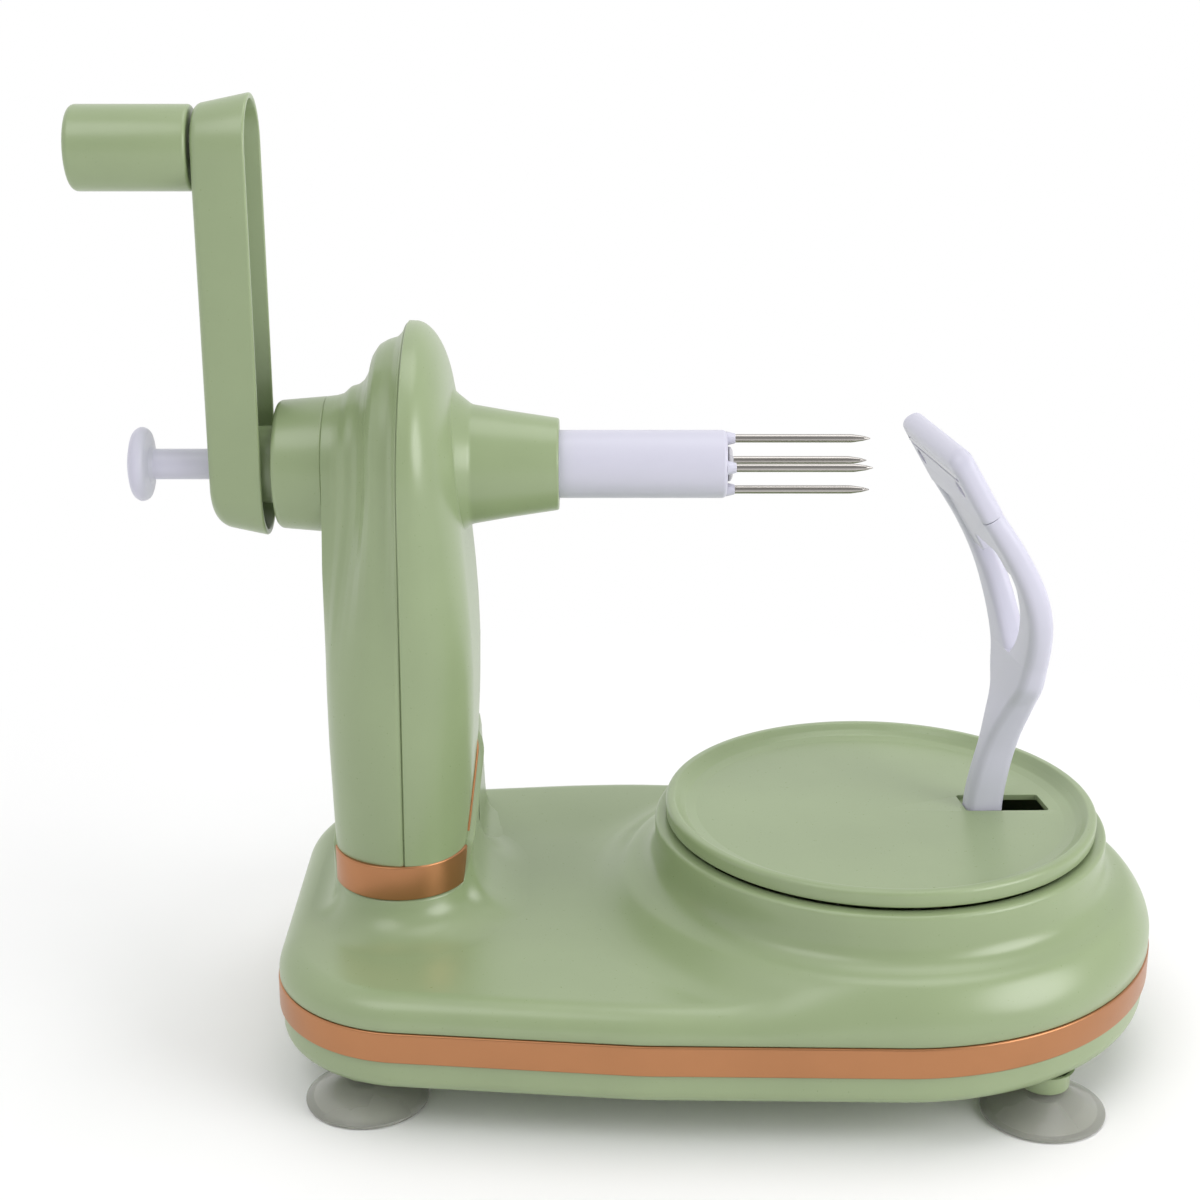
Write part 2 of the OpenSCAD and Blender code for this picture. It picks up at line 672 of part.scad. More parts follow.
// Column body from the foot up to a half section turned about the fork axis, swollen at one height;
// an inset draws it in, with the section's face moved along X by shift
module head_form(section, inset, shift, swell) {
    hull($fn = 48) {
        translate([0, 0, band_top - seat]) linear_extrude(seat) foot_plan(-inset);
        if (swell > 0) translate([0, 0, bulge_z]) linear_extrude(seat) foot_plan(swell - inset);
        along_x(seam_x) rotate_extrude() polygon([for (q = section) [max(q[0] - inset, 0), q[1] + shift]]);
    }
}

module half_space(side) {
    translate([seam_x + (side > 0 ? seat : -head_w - boss_len), -head_r - wall, 0])
        cube([head_w + boss_len - seat, 2 * (head_r + wall), axis_h + 2 * head_r]);
}

// Lugs across the parting plane that take the column's screws
module screw_lugs() {
    for (p = column_screw_spots) translate([crank_face, p[0], p[1]]) rotate([0, 90, 0])
        cylinder(r = screw_boss_r, h = head_w + foot_w);
}

module crank_shell() color(green) difference() {
    union() {
        difference() {
            intersection() {
                union() {
                    column_foot(0, band_z);
                    for (section = [rim_section, step_section, cap_section]) head_form(section, 0, 0, 0);
                }
                half_space(-1);
            }
            difference() {
                union() {
                    column_foot(wall, band_z - cut);
                    for (section = [step_section, cap_section]) head_form(section, wall, wall, 0);
                }
                screw_lugs();
                translate([crank_face, wheel_y - axle_r - 2, bracket_z])
                    cube([wheel_x + axle_r + 2 - crank_face, 2 * axle_r + 4, bracket_t]);
            }
        }
        along_x(boss_end) rotate_extrude() boss_section();
    }
    along_x(boss_end - cut) cylinder(r = bush_r + seat, h = boss_len + 2 * wall + 2 * cut);
    translate([wheel_x, wheel_y, bracket_z - cut]) cylinder(r = axle_r + run, h = bracket_t + 2 * cut);
    translate([wheel_x, wheel_y, axis_h - bracket_z + axis_h])
        cylinder(r = wheel_tip_r + pass, h = 2 * (bracket_z - axis_h));
    for (p = column_screw_spots) translate([0, p[0], p[1]]) {
        translate([crank_face - cut, 0, 0]) rotate([0, 90, 0]) cylinder(r = screw_head_r + 0.2, h = 5 + cut);
        translate([crank_face, 0, 0]) rotate([0, 90, 0]) cylinder(r = screw_r + 0.2, h = head_w);
    }
}

// Half section of the crank-side boss: slightly tapered, with a chamfered outer edge
module boss_section() {
    polygon([[0, 0], [boss_tip_r - 1.4, 0], [boss_tip_r - 0.4, 0.6], [boss_tip_r, 1.8],
        [boss_r, boss_len], [boss_r, boss_len + wall], [0, boss_len + wall]]);
}

module fork_shell() color(green) difference() {
    union() {
        difference() {
            intersection() {
                union() {
                    column_foot(0, band_z);
                    head_form(dome_section, 0, 0, bulge);
                }
                half_space(1);
            }
            difference() {
                union() {
                    column_foot(wall, band_z - cut);
                    head_form(dome_section, wall, -wall, bulge);
                }
                screw_lugs();
            }
        }
        along_x(fork_face - nose_in) rotate_extrude() nose_section();
    }
    along_x(fork_face - nose_in - cut) cylinder(r = bush_r + seat, h = nose_len + nose_in + 2 * cut);
    for (p = column_screw_spots) translate([seam_x - cut, p[0], p[1]]) rotate([0, 90, 0])
        cylinder(r = screw_r, h = 10 + cut);
}

// Half section of the nose cone, spread where it grows out of the dome
module nose_section() {
    polygon([[0, 0], [nose_root_r + 3, 0], [nose_root_r + 0.8, nose_in - 2], [nose_root_r, nose_in],
        [nose_tip_r, nose_in + nose_len], [0, nose_in + nose_len]]);
}

module column_screws() color(steel) for (p = column_screw_spots)
    translate([crank_face + 5, p[0], p[1]]) rotate([0, 90, 0]) screw(seam_x + 9 - crank_face - 5);

module crank_bush() color(nylon) along_x(boss_end + 0.4) tube(bush_r, shaft_r + run, boss_len + wall);

module fork_bush() color(nylon) along_x(fork_face - wall) tube(bush_r, shaft_r + run, nose_len + wall - 0.3);

// Outline of the crank arm, shrunk by an inset
module arm_plan(inset) {
    low = axis_h - arm_tail + arm_w;
    for (z = [low, grip_z]) translate([0, z]) circle(arm_w - inset);
    translate([inset - arm_w, low]) square([2 * (arm_w - inset), grip_z - low]);
}

module crank_arm() color(green) difference() {
    union() {
        difference() {
            translate([arm_x0, 0, 0]) rotate([90, 0, 90]) linear_extrude(arm_d) arm_plan(0);
            translate([arm_x0 + arm_t, 0, 0]) rotate([90, 0, 90]) linear_extrude(arm_d) arm_plan(arm_t);
        }
        along_x(arm_x0) cylinder(r = shaft_r + 3, h = arm_d);
        translate([arm_x0, 0, grip_z]) rotate([0, 90, 0]) cylinder(r = grip_pin_r + 3, h = arm_d * 0.6);
    }
    along_x(arm_x0 + arm_t) cylinder(r = shaft_r + seat, h = arm_d);
    along_x(arm_x0 - cut) cylinder(r = rod_r + run, h = arm_d);
    translate([arm_x0 - cut, 0, grip_z]) rotate([0, 90, 0]) cylinder(r = grip_pin_r + seat, h = arm_d);
}

module drive_shaft() color(steel) along_x(arm_x0 + arm_t + seat)
    tube(shaft_r, rod_r + run, shaft_x1 - arm_x0 - arm_t - 2 * seat);

module worm() color(nylon) difference() {
    translate([wheel_x - lead * (worm_turns + 1) / 2, 0, axis_h]) worm_thread();
    along_x(wheel_x - 4 * lead) cylinder(r = shaft_r + seat, h = 8 * lead);
}

// One start of thread with its root, wound from its profile's four corners
module worm_thread() {
    rings = worm_turns * worm_steps;
    slope = tan(20);
    tip_half = worm_half - (worm_tip_r - worm_pitch_r) * slope;
    root_half = worm_half + (worm_pitch_r - worm_root_r) * slope;
    profile = [[-root_half, worm_root_r], [-tip_half, worm_tip_r],
        [tip_half, worm_tip_r], [root_half, worm_root_r]];
    points = concat([for (j = [0 : rings], q = profile)
        let (a = j * 360 / worm_steps)
        [lead * (a / 360 + 0.5) + q[0], q[1] * cos(a), q[1] * sin(a)]],
        [[lead / 2, 0, 0], [lead * (worm_turns + 0.5), 0, 0]]);
    near = 4 * (rings + 1);
    flanks = [for (j = [0 : rings - 1], i = [0 : 2])
        each [[4 * j + i, 4 * j + i + 4, 4 * j + i + 5], [4 * j + i, 4 * j + i + 5, 4 * j + i + 1]]];
    roots = [for (j = [0 : rings - worm_steps - 1])
        let (a = 4 * j + 3, b = 4 * (j + worm_steps))
        each [[a, a + 4, b + 4], [a, b + 4, b]]];
    start_edge = concat([for (j = [0 : worm_steps]) 4 * j], [3, 2, 1, 0]);
    last = rings - worm_steps;
    end_edge = concat([for (j = [last : rings]) 4 * j + 3],
        [4 * rings + 2, 4 * rings + 1, 4 * rings, 4 * last + 3]);
    start_fan = [for (k = [0 : len(start_edge) - 2]) [near, start_edge[k + 1], start_edge[k]]];
    end_fan = [for (k = [0 : len(end_edge) - 2]) [near + 1, end_edge[k], end_edge[k + 1]]];
    polyhedron(points, concat(flanks, roots, start_fan, end_fan));
}

module fork_tube() color(white) difference() {
    union() {
        along_x(tube_x0) cylinder(r = tube_r, h = tube_len - 1);
        along_x(tube_x1 - 1) cylinder(r1 = tube_r, r2 = tube_r - 1, h = 1);
        at_prongs() along_x(tube_x1 - seat) cylinder(r1 = collar_r, r2 = prong_r + 0.15, h = collar_h);
    }
    along_x(tube_x0 - cut) cylinder(r = shaft_r + seat, h = shaft_x1 - tube_x0 + cut);
    along_x(tube_x0) cylinder(r = rod_r + run, h = tube_len + cut);
    at_prongs() along_x(prong_x0) cylinder(r = prong_r + seat, h = prong_len);
}

module at_prongs() {
    for (k = [0 : 3]) translate([0, 0, axis_h]) rotate([prong_turn + 90 * k, 0, 0])
        translate([0, prong_pitch_r, -axis_h]) children();
}

module fork_prongs() color(steel) at_prongs() {
    along_x(prong_x0 + seat) cylinder(r = prong_r, h = prong_x1 - prong_tip - prong_x0 - seat);
    along_x(prong_x1 - prong_tip - seat) cylinder(r1 = prong_r, r2 = 0.1, h = prong_tip);
}

module grip_pin() color(steel) translate([0, 0, grip_z]) rotate([0, 90, 0]) {
    translate([0, 0, grip_x0 + cap_t + pass]) cylinder(r = pin_head_r, h = pin_head_t);
    translate([0, 0, grip_x0 + cap_t + pass])
        cylinder(r = grip_pin_r, h = arm_x0 + 0.6 * arm_d - grip_x0 - cap_t - pass);
}

module crank_grip() color(green) translate([grip_x0, 0, grip_z]) rotate([0, 90, 0]) difference() {
    union() {
        translate([0, 0, 1.2]) cylinder(r = grip_r, h = grip_len - 1.2);
        cylinder(r1 = grip_r - 1, r2 = grip_r, h = 1.2);
    }
    translate([0, 0, -cut]) cylinder(r = grip_pin_r + run, h = grip_len + 2 * cut);
    translate([0, 0, -cut]) cylinder(r = pin_head_r + pass, h = cap_t + 2 * pass + pin_head_t + cut);
}

module grip_cap() color(green) translate([grip_x0, 0, grip_z]) rotate([0, 90, 0])
    cylinder(r = pin_head_r + pass - seat, h = cap_t);

module push_rod() color(white) {
    along_x(knob_x0) rotate_extrude() difference() {
        union() {
            square([knob_r - 2, knob_t]);
            translate([0, 2]) square([knob_r, knob_t - 3]);
            translate([knob_r - 2, 2]) circle(2);
            translate([knob_r - 1, knob_t - 1]) circle(1);
            square([knob_r - 1, knob_t]);
        }
    }
    along_x(knob_x1 - cut) cylinder(r = rod_r, h = tube_x1 + 0.2 - knob_x1 + cut);
}

module ejector_tip() color(smoke) along_x(tube_x1 + 0.2 + seat) {
    cylinder(r = tip_r, h = tip_t - 0.8);
    translate([0, 0, tip_t - 0.8]) cylinder(r1 = tip_r, r2 = tip_r - 0.8, h = 0.8);
}

module gear(teeth, m, thin, h, bore) {
    difference() {
        linear_extrude(h) polygon(gear_points(teeth, m, thin));
        translate([0, 0, -cut]) cylinder(r = bore, h = h + 2 * cut);
    }
}

module worm_wheel() color(nylon) translate([wheel_x, wheel_y, axis_h - wheel_t / 2]) {
    rotate([0, 0, wheel_phase]) gear(wheel_teeth, worm_m, worm_play, wheel_t, axle_r + seat);
    translate([0, 0, -5]) tube(axle_r + 2.2, axle_r + seat, 5);
}

module upright_shaft() color(steel) translate([wheel_x, wheel_y, under_z + 1.4 + run])
    cylinder(r = axle_r, h = bracket_z + bracket_t + 1 - under_z - 1.4);

module base_pinion() color(nylon) translate([pinion_at[0], pinion_at[1], gear_z]) {
    gear(pinion_teeth, gear_m, play, gear_t, axle_r + seat);
    translate([0, 0, gear_t]) tube(axle_r + 2.2, axle_r + seat, 4);
}

module first_idler() color(nylon) translate([idler_1_at[0], idler_1_at[1], gear_z])
    rotate([0, 0, phase_1]) gear(idler_teeth, gear_m, play, gear_t, axle_r + run);

module second_idler() color(nylon) translate([idler_2_at[0], idler_2_at[1], gear_z])
    rotate([0, 0, phase_2]) gear(idler_teeth, gear_m, play, gear_t, axle_r + run);

module turntable_gear() color(nylon) translate([turn_x, 0, gear_z])
    rotate([0, 0, phase_3]) gear(table_teeth, gear_m, play, gear_t, hub_r + seat);

module arm_frame() {
    translate([turn_x, 0, 0]) rotate([0, 0, arm_turn]) children();
}

module turntable_plate() color(green) difference() {
    union() {
        translate([turn_x, 0, 0]) rotate_extrude() plate_section();
        translate([turn_x, 0, gear_z + pass]) cylinder(r = hub_r, h = plate_floor - cut - gear_z);
        arm_frame() for (v = [arm_shift + ear_in, arm_shift - ear_in - spring_w - ear_t])
            translate([hinge_u - eye_r, v, ear_low]) cube([2 * eye_r, ear_t, plate_floor - cut - ear_low]);
    }
    translate([turn_x, 0, 0]) cylinder(r = post_r + run, h = post_top + run);
    arm_frame() translate([0, 0, plate_under - cut]) linear_extrude(floor_drop + plate_t + 2 * cut)
        polygon([for (e = [[slot_in, 0, -1], [slot_out, 1, -1], [slot_out, 1, 1], [slot_in, 0, 1]])
            [e[0], slot_mid - e[1] * slot_drift + e[2] * slot_w / 2]]);
    arm_frame() translate([hinge_u, 50, hinge_z]) rotate([90, 0, 0]) cylinder(r = hinge_r + seat, h = 100);
}

// Half section of the plate: sunk floor, rising rim and turned-down lip
module plate_section() {
    in_r = well_r - 0.6;
    rim = 1.7;
    polygon([[0, plate_under], [in_r, plate_under], [in_r, lip_z], [plate_r - 0.6, lip_z],
        [plate_r, lip_z + 0.8], [plate_r, plate_z - 1.5], [plate_r - 0.5, plate_z - 0.4], [plate_r - rim, plate_z],
        [plate_r - rim - 1.2, plate_z - 0.3], [floor_r, plate_floor], [0, plate_floor]]);
}

module hinge_pin() color(steel) arm_frame()
    translate([hinge_u, arm_shift + ear_in + ear_t, hinge_z]) rotate([90, 0, 0])
        cylinder(r = hinge_r, h = 2 * (ear_in + ear_t) + spring_w);

module arm_spring() color(steel) arm_frame()
    translate([hinge_u, arm_shift - ear_in, hinge_z]) rotate([90, 0, 0])
        translate([0, 0, seat]) tube(hinge_r + 1.6, hinge_r + 0.1, spring_w - 2 * seat);

module head_frame() {
    arm_frame() translate([head_u, arm_shift, head_z]) rotate([0, -head_lean, 0]) children();
}

module peeler_arm() color(white) difference() {
    union() {
        arm_frame() translate([0, arm_shift, 0]) intersection() {
            translate([0, fork_v + cut, 0]) rotate([90, 0, 0]) linear_extrude(2 * (fork_v + cut))
                polygon(band_points(curve(spine)));
            translate([slot_in - 20, 0, 0]) rotate([90, 0, 90]) linear_extrude(50)
                difference() {
                    polygon(mirrored_points(curve(outline)));
                    polygon(mirrored_points(curve(window)));
                }
        }
        arm_frame() translate([hinge_u, arm_shift + stem_v, hinge_z]) rotate([90, 0, 0])
            cylinder(r = eye_r, h = 2 * stem_v);
    }
    arm_frame() translate([hinge_u, 50, hinge_z]) rotate([90, 0, 0]) cylinder(r = hinge_r + run, h = 100);
    head_frame() translate([-20, -50, 0]) cube([40, 100, 40]);
}

// Face of the carrier's wide part, with rounded free corners
module carrier_plan() {
    round = 5;
    translate([-fork_v, seat]) square([2 * fork_v, head_len - round - seat]);
    translate([round - fork_v, seat]) square([2 * (fork_v - round), head_len - seat]);
    for (s = [-1, 1]) translate([s * (fork_v - round), head_len - round]) circle(round);
}

module blade_carrier() color(white) head_frame() difference() {
    union() {
        translate([-head_t / 2, 0, 0]) rotate([90, 0, 90]) linear_extrude(head_t) carrier_plan();
        translate([-neck_t / 2, -neck_v, -neck_len]) cube([neck_t, 2 * neck_v, neck_len + cut]);
    }
    translate([-head_t, -blade_len / 2 - seat, slit_at - slit_w / 2])
        cube([2 * head_t, blade_len + 2 * seat, slit_w]);
    translate([-neck_t, -neck_v / 2, -neck_len - cut]) cube([2 * neck_t, neck_v, 0.3 * neck_len + cut]);
    at_blade_pins() cylinder(r = screw_r - 0.4 + seat, h = 2 * head_t, center = true);
}

module at_blade_pins() {
    for (s = [-1, 1]) translate([0, s * (blade_len / 2 - 4), slit_at - 4.2]) rotate([0, 90, 0]) children();
}

module peeling_blade() color(steel) head_frame()
    translate([-head_t / 2 - 0.4, -blade_len / 2, slit_at + slit_w / 2 - blade_t - seat])
        cube([blade_w, blade_len, blade_t]);

module blade_pins() color(steel) head_frame() at_blade_pins()
    cylinder(r = screw_r - 0.4, h = head_t - 1, center = true);

base_bottom();
base_trim();
base_shell();
base_screws();
suction_cups();
turntable_post();
idler_pins();
column_band();
crank_shell();
fork_shell();
column_screws();
crank_bush();
fork_bush();
crank_arm();
drive_shaft();
worm();
fork_tube();
fork_prongs();
grip_pin();
crank_grip();
grip_cap();
push_rod();
ejector_tip();
worm_wheel();
upright_shaft();
base_pinion();
first_idler();
second_idler();
turntable_plate();
turntable_gear();
hinge_pin();
arm_spring();
peeler_arm();
blade_carrier();
peeling_blade();
blade_pins();
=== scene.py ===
import math

import bmesh
import bpy
import numpy as np
from mathutils import Matrix, Vector


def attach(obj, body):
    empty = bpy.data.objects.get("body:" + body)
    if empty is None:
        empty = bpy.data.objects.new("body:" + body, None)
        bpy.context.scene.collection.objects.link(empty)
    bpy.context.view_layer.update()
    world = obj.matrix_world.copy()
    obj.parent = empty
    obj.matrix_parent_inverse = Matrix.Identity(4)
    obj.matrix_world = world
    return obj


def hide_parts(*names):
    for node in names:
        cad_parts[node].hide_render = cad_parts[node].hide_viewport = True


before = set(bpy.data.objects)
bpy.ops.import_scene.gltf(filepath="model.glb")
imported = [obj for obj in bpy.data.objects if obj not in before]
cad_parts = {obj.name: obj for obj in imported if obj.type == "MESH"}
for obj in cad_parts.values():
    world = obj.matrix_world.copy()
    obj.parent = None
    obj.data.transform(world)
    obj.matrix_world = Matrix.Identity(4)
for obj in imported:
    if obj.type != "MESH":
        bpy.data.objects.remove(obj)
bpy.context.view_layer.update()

# Shared places; sizes are in millimetres until a mesh is made
MM = 0.001
AXIS_Z = 148.3
TURN_X = 62.0
ARM_TURN = math.radians(8)


# Materials


def srgb(r, g, b):
    def lin(c):
        c /= 255
        return c / 12.92 if c <= 0.04045 else ((c + 0.055) / 1.055) ** 2.4
    return (lin(r), lin(g), lin(b), 1.0)


def scaled(rgba, k):
    return tuple(min(c * k, 1.0) for c in rgba[:3]) + (1.0,)


def add_node(tree, kind, **inputs):
    """New shader node; an input's name has underscores for its blanks."""
    node = tree.nodes.new("ShaderNode" + kind)
    for key, value in inputs.items():
        node.inputs[key.replace("_", " ")].default_value = value
    return node


def material(name, rgba, rough, tint=0.04, broad=45, grain=1600, bump=0.06, depth=0.00006,
             stretch=(1, 1, 1), rough_span=0.06, **sockets):
    """Principled surface whose colour, gloss and relief follow two noises in the object's space."""
    mat = bpy.data.materials.new(name)
    mat.use_nodes = True
    tree = mat.node_tree
    shader = tree.nodes["Principled BSDF"]
    coord = add_node(tree, "TexCoord")
    place = add_node(tree, "Mapping", Scale=stretch)
    wide = add_node(tree, "TexNoise", Scale=broad, Detail=4)
    fine = add_node(tree, "TexNoise", Scale=grain, Detail=3)
    span = add_node(tree, "MapRange", To_Min=rough - rough_span, To_Max=rough + rough_span)
    relief = add_node(tree, "Bump", Strength=bump, Distance=depth)
    ramp = add_node(tree, "ValToRGB")
    for stop, at, k in zip(ramp.color_ramp.elements, (0.3, 0.7), (1 - tint, 1 + tint)):
        stop.position = at
        stop.color = scaled(rgba, k)
    link = tree.links.new
    link(coord.outputs["Object"], place.inputs["Vector"])
    link(coord.outputs["Object"], wide.inputs["Vector"])
    link(place.outputs["Vector"], fine.inputs["Vector"])
    link(wide.outputs["Fac"], ramp.inputs["Fac"])
    link(ramp.outputs["Color"], shader.inputs["Base Color"])
    link(fine.outputs["Fac"], span.inputs["Value"])
    link(span.outputs["Result"], shader.inputs["Roughness"])
    link(fine.outputs["Fac"], relief.inputs["Height"])
    link(relief.outputs["Normal"], shader.inputs["Normal"])
    for key, value in sockets.items():
        shader.inputs[key.replace("_", " ")].default_value = value
    return mat


GREEN = material("sage_plastic", srgb(145, 161, 121), 0.3, tint=0.03, bump=0.03, IOR=1.62)
WHITE = material("lilac_white_plastic", srgb(203, 202, 217), 0.36, tint=0.015, bump=0.03, IOR=1.48)
COPPER = material("satin_copper_trim", srgb(181, 127, 88), 0.34, tint=0.05, grain=2600, Metallic=0.85)
STEEL = material("polished_steel", srgb(176, 172, 168), 0.16, tint=0.05, stretch=(0.04, 1, 1),
                 grain=1500, bump=0.03, rough_span=0.03, Metallic=1.0)
BLADE = material("ground_blade_steel", srgb(196, 197, 200), 0.26, tint=0.05, stretch=(1, 0.05, 1),
                 grain=3600, bump=0.12, Metallic=1.0)
NYLON = material("natural_nylon", srgb(228, 226, 214), 0.5, tint=0.03, Subsurface_Weight=0.1,
                 Subsurface_Scale=0.002)
CUP = material("smoke_grey_vinyl", srgb(216, 217, 208), 0.2, tint=0.04, IOR=1.42,
               Transmission_Weight=0.7)
TIP = material("pale_ejector_plastic", srgb(196, 195, 200), 0.4, tint=0.04)


# Meshes


def finish_mesh(obj, sharp):
    bm = bmesh.new()
    bm.from_mesh(obj.data)
    bmesh.ops.remove_doubles(bm, verts=bm.verts, dist=2e-7)
    bmesh.ops.dissolve_degenerate(bm, edges=bm.edges, dist=1e-8)
    bmesh.ops.recalc_face_normals(bm, faces=bm.faces)
    bm.to_mesh(obj.data)
    bm.free()
    obj.data.shade_smooth()
    obj.data.set_sharp_from_angle(angle=math.radians(sharp))


def mesh_object(name, verts, faces, mat, sharp=38):
    mesh = bpy.data.meshes.new(name)
    mesh.from_pydata([Vector(v) * MM for v in verts], [], faces)
    obj = bpy.data.objects.new(name, mesh)
    bpy.context.scene.collection.objects.link(obj)
    obj.data.materials.append(mat)
    finish_mesh(obj, sharp)
    return obj


def belongs(obj, body, slot, *nodes):
    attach(obj, body)
    if nodes:
        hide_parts(*nodes)


class Build:
    """Collects grids and caps into one mesh."""

    def __init__(self):
        self.verts, self.faces = [], []

    def grid(self, points, wrap_rows=False, wrap_cols=False):
        start = len(self.verts)
        rows, cols = len(points), len(points[0])
        self.verts += [tuple(p) for row in points for p in row]
        for i in range(rows if wrap_rows else rows - 1):
            a, b = start + i * cols, start + (i + 1) % rows * cols
            for j in range(cols if wrap_cols else cols - 1):
                k = (j + 1) % cols
                self.faces.append((a + j, a + k, b + k, b + j))

    def cap(self, points):
        start = len(self.verts)
        self.verts += [tuple(p) for p in points]
        self.faces.append(tuple(range(start, start + len(points))))

    def strip(self, rows):
        """Open strip whose first and last sections are filled."""
        self.grid(rows)
        self.cap(rows[0])
        self.cap(rows[-1][::-1])

    def loft(self, rows):
        """Skin over closed sections, filled at both ends."""
        self.grid(rows, wrap_cols=True)
        self.cap(rows[0][::-1])
        self.cap(rows[-1])

    def lathe(self, profile, place, n):
        """Turns a profile of radii and heights; place gives the point for a, b and a height."""
        rows = []
        for a in np.linspace(0, 2 * math.pi, n, endpoint=False):
            rows.append([place(r * math.cos(a), r * math.sin(a), h) for r, h in profile])
        self.grid(rows, wrap_rows=True)

    def object(self, name, mat, sharp=38):
        return mesh_object(name, self.verts, self.faces, mat, sharp)


def on_x(y=0.0, z=AXIS_Z):
    """Places a lathe's heights along X, about a line at y, z."""
    return lambda a, b, h: (h, y + a, z + b)


def on_z(x, y):
    """Places a lathe's heights along Z, about a line at x, y."""
    return lambda a, b, h: (x + a, y + b, h)


def turned(name, profile, steps, place, n, mat, sharp=50):
    """Object from one lathe."""
    b = Build()
    b.lathe(rounded(profile, steps), place, n)
    return b.object(name, mat, sharp)


def rounded(points, steps=6):
    """Polyline through (a, b, radius) corners with true arcs at them."""
    out = []
    n = len(points)
    for i, p in enumerate(points):
        r = p[2] if len(p) > 2 else 0
        if r <= 0 or i in (0, n - 1):
            out.append((p[0], p[1]))
            continue
        c = np.array(p[:2], float)
        u = np.array(points[i - 1][:2], float) - c
        v = np.array(points[i + 1][:2], float) - c
        lu, lv = np.linalg.norm(u), np.linalg.norm(v)
        u, v = u / lu, v / lv
        half = math.acos(max(-1, min(1, float(u @ v)))) / 2
        if half > math.radians(89):
            out.append(tuple(c))
            continue
        reach = min(r / math.tan(half), 0.49 * lu, 0.49 * lv)
        r = reach * math.tan(half)
        mid = (u + v) / np.linalg.norm(u + v)
        centre = c + mid * r / math.sin(half)
        a, b = c + u * reach - centre, c + v * reach - centre
        turn = math.acos(max(-1, min(1, float(a @ b) / (r * r))))
        for k in range(steps + 1):
            t = k / steps
            s = math.sin(turn)
            q = (math.sin((1 - t) * turn) * a + math.sin(t * turn) * b) / s if s > 1e-6 else a
            out.append(tuple(centre + q))
    return out


def smoothstep(x, lo, hi):
    t = np.clip((x - lo) / (hi - lo), 0, 1)
    return t * t * (3 - 2 * t)


def soft_max(a, b, soft):
    h = np.clip(0.5 + 0.5 * (a - b) / soft, 0, 1)
    return b + (a - b) * h + soft * h * (1 - h)


def spline(points, per=6):
    """Smooth curve through rows of numbers."""
    p = np.array(points, float)
    n = len(p) - 1
    out = []
    for i in range(n):
        a, b, c, d = p[max(i - 1, 0)], p[i], p[i + 1], p[min(i + 2, n)]
        for k in range(per):
            t = k / per
            out.append(0.5 * (2 * b + (c - a) * t + (2 * a - 5 * b + 4 * c - d) * t * t
                              + (3 * b - a - 3 * c + d) * t ** 3))
    return np.array(out + [p[n]])


def resample(points, count):
    """Polyline with evenly spaced points."""
    p = np.array(points, float)
    run = np.concatenate([[0], np.cumsum(np.linalg.norm(np.diff(p, axis=0), axis=1))])
    at = np.linspace(0, run[-1], count)
    return np.stack([np.interp(at, run, p[:, 0]), np.interp(at, run, p[:, 1])], 1)


def cut(obj, cutters, bevel):
    """Takes the cutters out of obj, then softens the new edges."""
    for c in cutters:
        mod = obj.modifiers.new("cut", "BOOLEAN")
        mod.operation = "DIFFERENCE"
        mod.solver = "EXACT"
        mod.object = c
    mod = obj.modifiers.new("soft", "BEVEL")
    mod.width = bevel * MM
    mod.segments = 3
    mod.limit_method = "ANGLE"
    mod.angle_limit = math.radians(50)
    deps = bpy.context.evaluated_depsgraph_get()
    mesh = bpy.data.meshes.new_from_object(obj.evaluated_get(deps))
    obj.modifiers.clear()
    obj.data = mesh
    for c in cutters:
        bpy.data.objects.remove(c, do_unlink=True)
    mesh.shade_smooth()
    mesh.set_sharp_from_angle(angle=math.radians(38))


def prism(name, plan, lo, hi, place):
    """Straight prism over a plan, as a cutter."""
    b = Build()
    b.loft([[place(x, y, h) for x, y in plan] for h in (lo, hi)])
    return b.object(name, GREEN)


def offset_plan(plan, inset):
    """A closed, counter-clockwise plan drawn in by an inset along its corner normals."""
    p = np.array(plan, float)
    before, after = np.roll(p, 1, 0), np.roll(p, -1, 0)
    d0 = p - before
    d1 = after - p
    d0 /= np.linalg.norm(d0, axis=1)[:, None]
    d1 /= np.linalg.norm(d1, axis=1)[:, None]
    n0 = np.stack([-d0[:, 1], d0[:, 0]], 1)
    n1 = np.stack([-d1[:, 1], d1[:, 0]], 1)
    m = n0 + n1
    m /= np.linalg.norm(m, axis=1)[:, None]
    k = 1 / np.maximum((m * n0).sum(1), 0.4)
    return p + m * (inset * k)[:, None]


def pad(build, plan, lo, hi, r_lo, r_hi, place, steps=5):
    """Solid over a closed plan with rounded lower and upper edges."""
    turns = np.linspace(0, math.pi / 2, steps + 1)
    loops = [(r_lo * (1 - math.sin(a)), lo + r_lo * (1 - math.cos(a))) for a in turns]
    loops += [(r_hi * (1 - math.cos(a)), hi - r_hi * (1 - math.sin(a))) for a in turns]
    build.loft([[place(x, y, h) for x, y in offset_plan(plan, i)] for i, h in loops])


def rounded_box_plan(x0, x1, y0, y1, r, steps=6):
    out = []
    corners = ((x1 - r, y1 - r, 0), (x0 + r, y1 - r, 90), (x0 + r, y0 + r, 180), (x1 - r, y0 + r, 270))
    for cx, cy, a0 in corners:
        for k in range(steps + 1):
            a = math.radians(a0 + 90 * k / steps)
            out.append((cx + r * math.cos(a), cy + r * math.sin(a)))
    return out


def circle_plan(r, n):
    return [(r * math.cos(a), r * math.sin(a)) for a in np.linspace(0, 2 * math.pi, n, endpoint=False)]


# Base

END_R, SIDE_R, CORNER_R = 69.3, 68.2, 34.5
SIDE_X, CORNER_X, CORNER_Y = 4.15, -53.7, 28.0
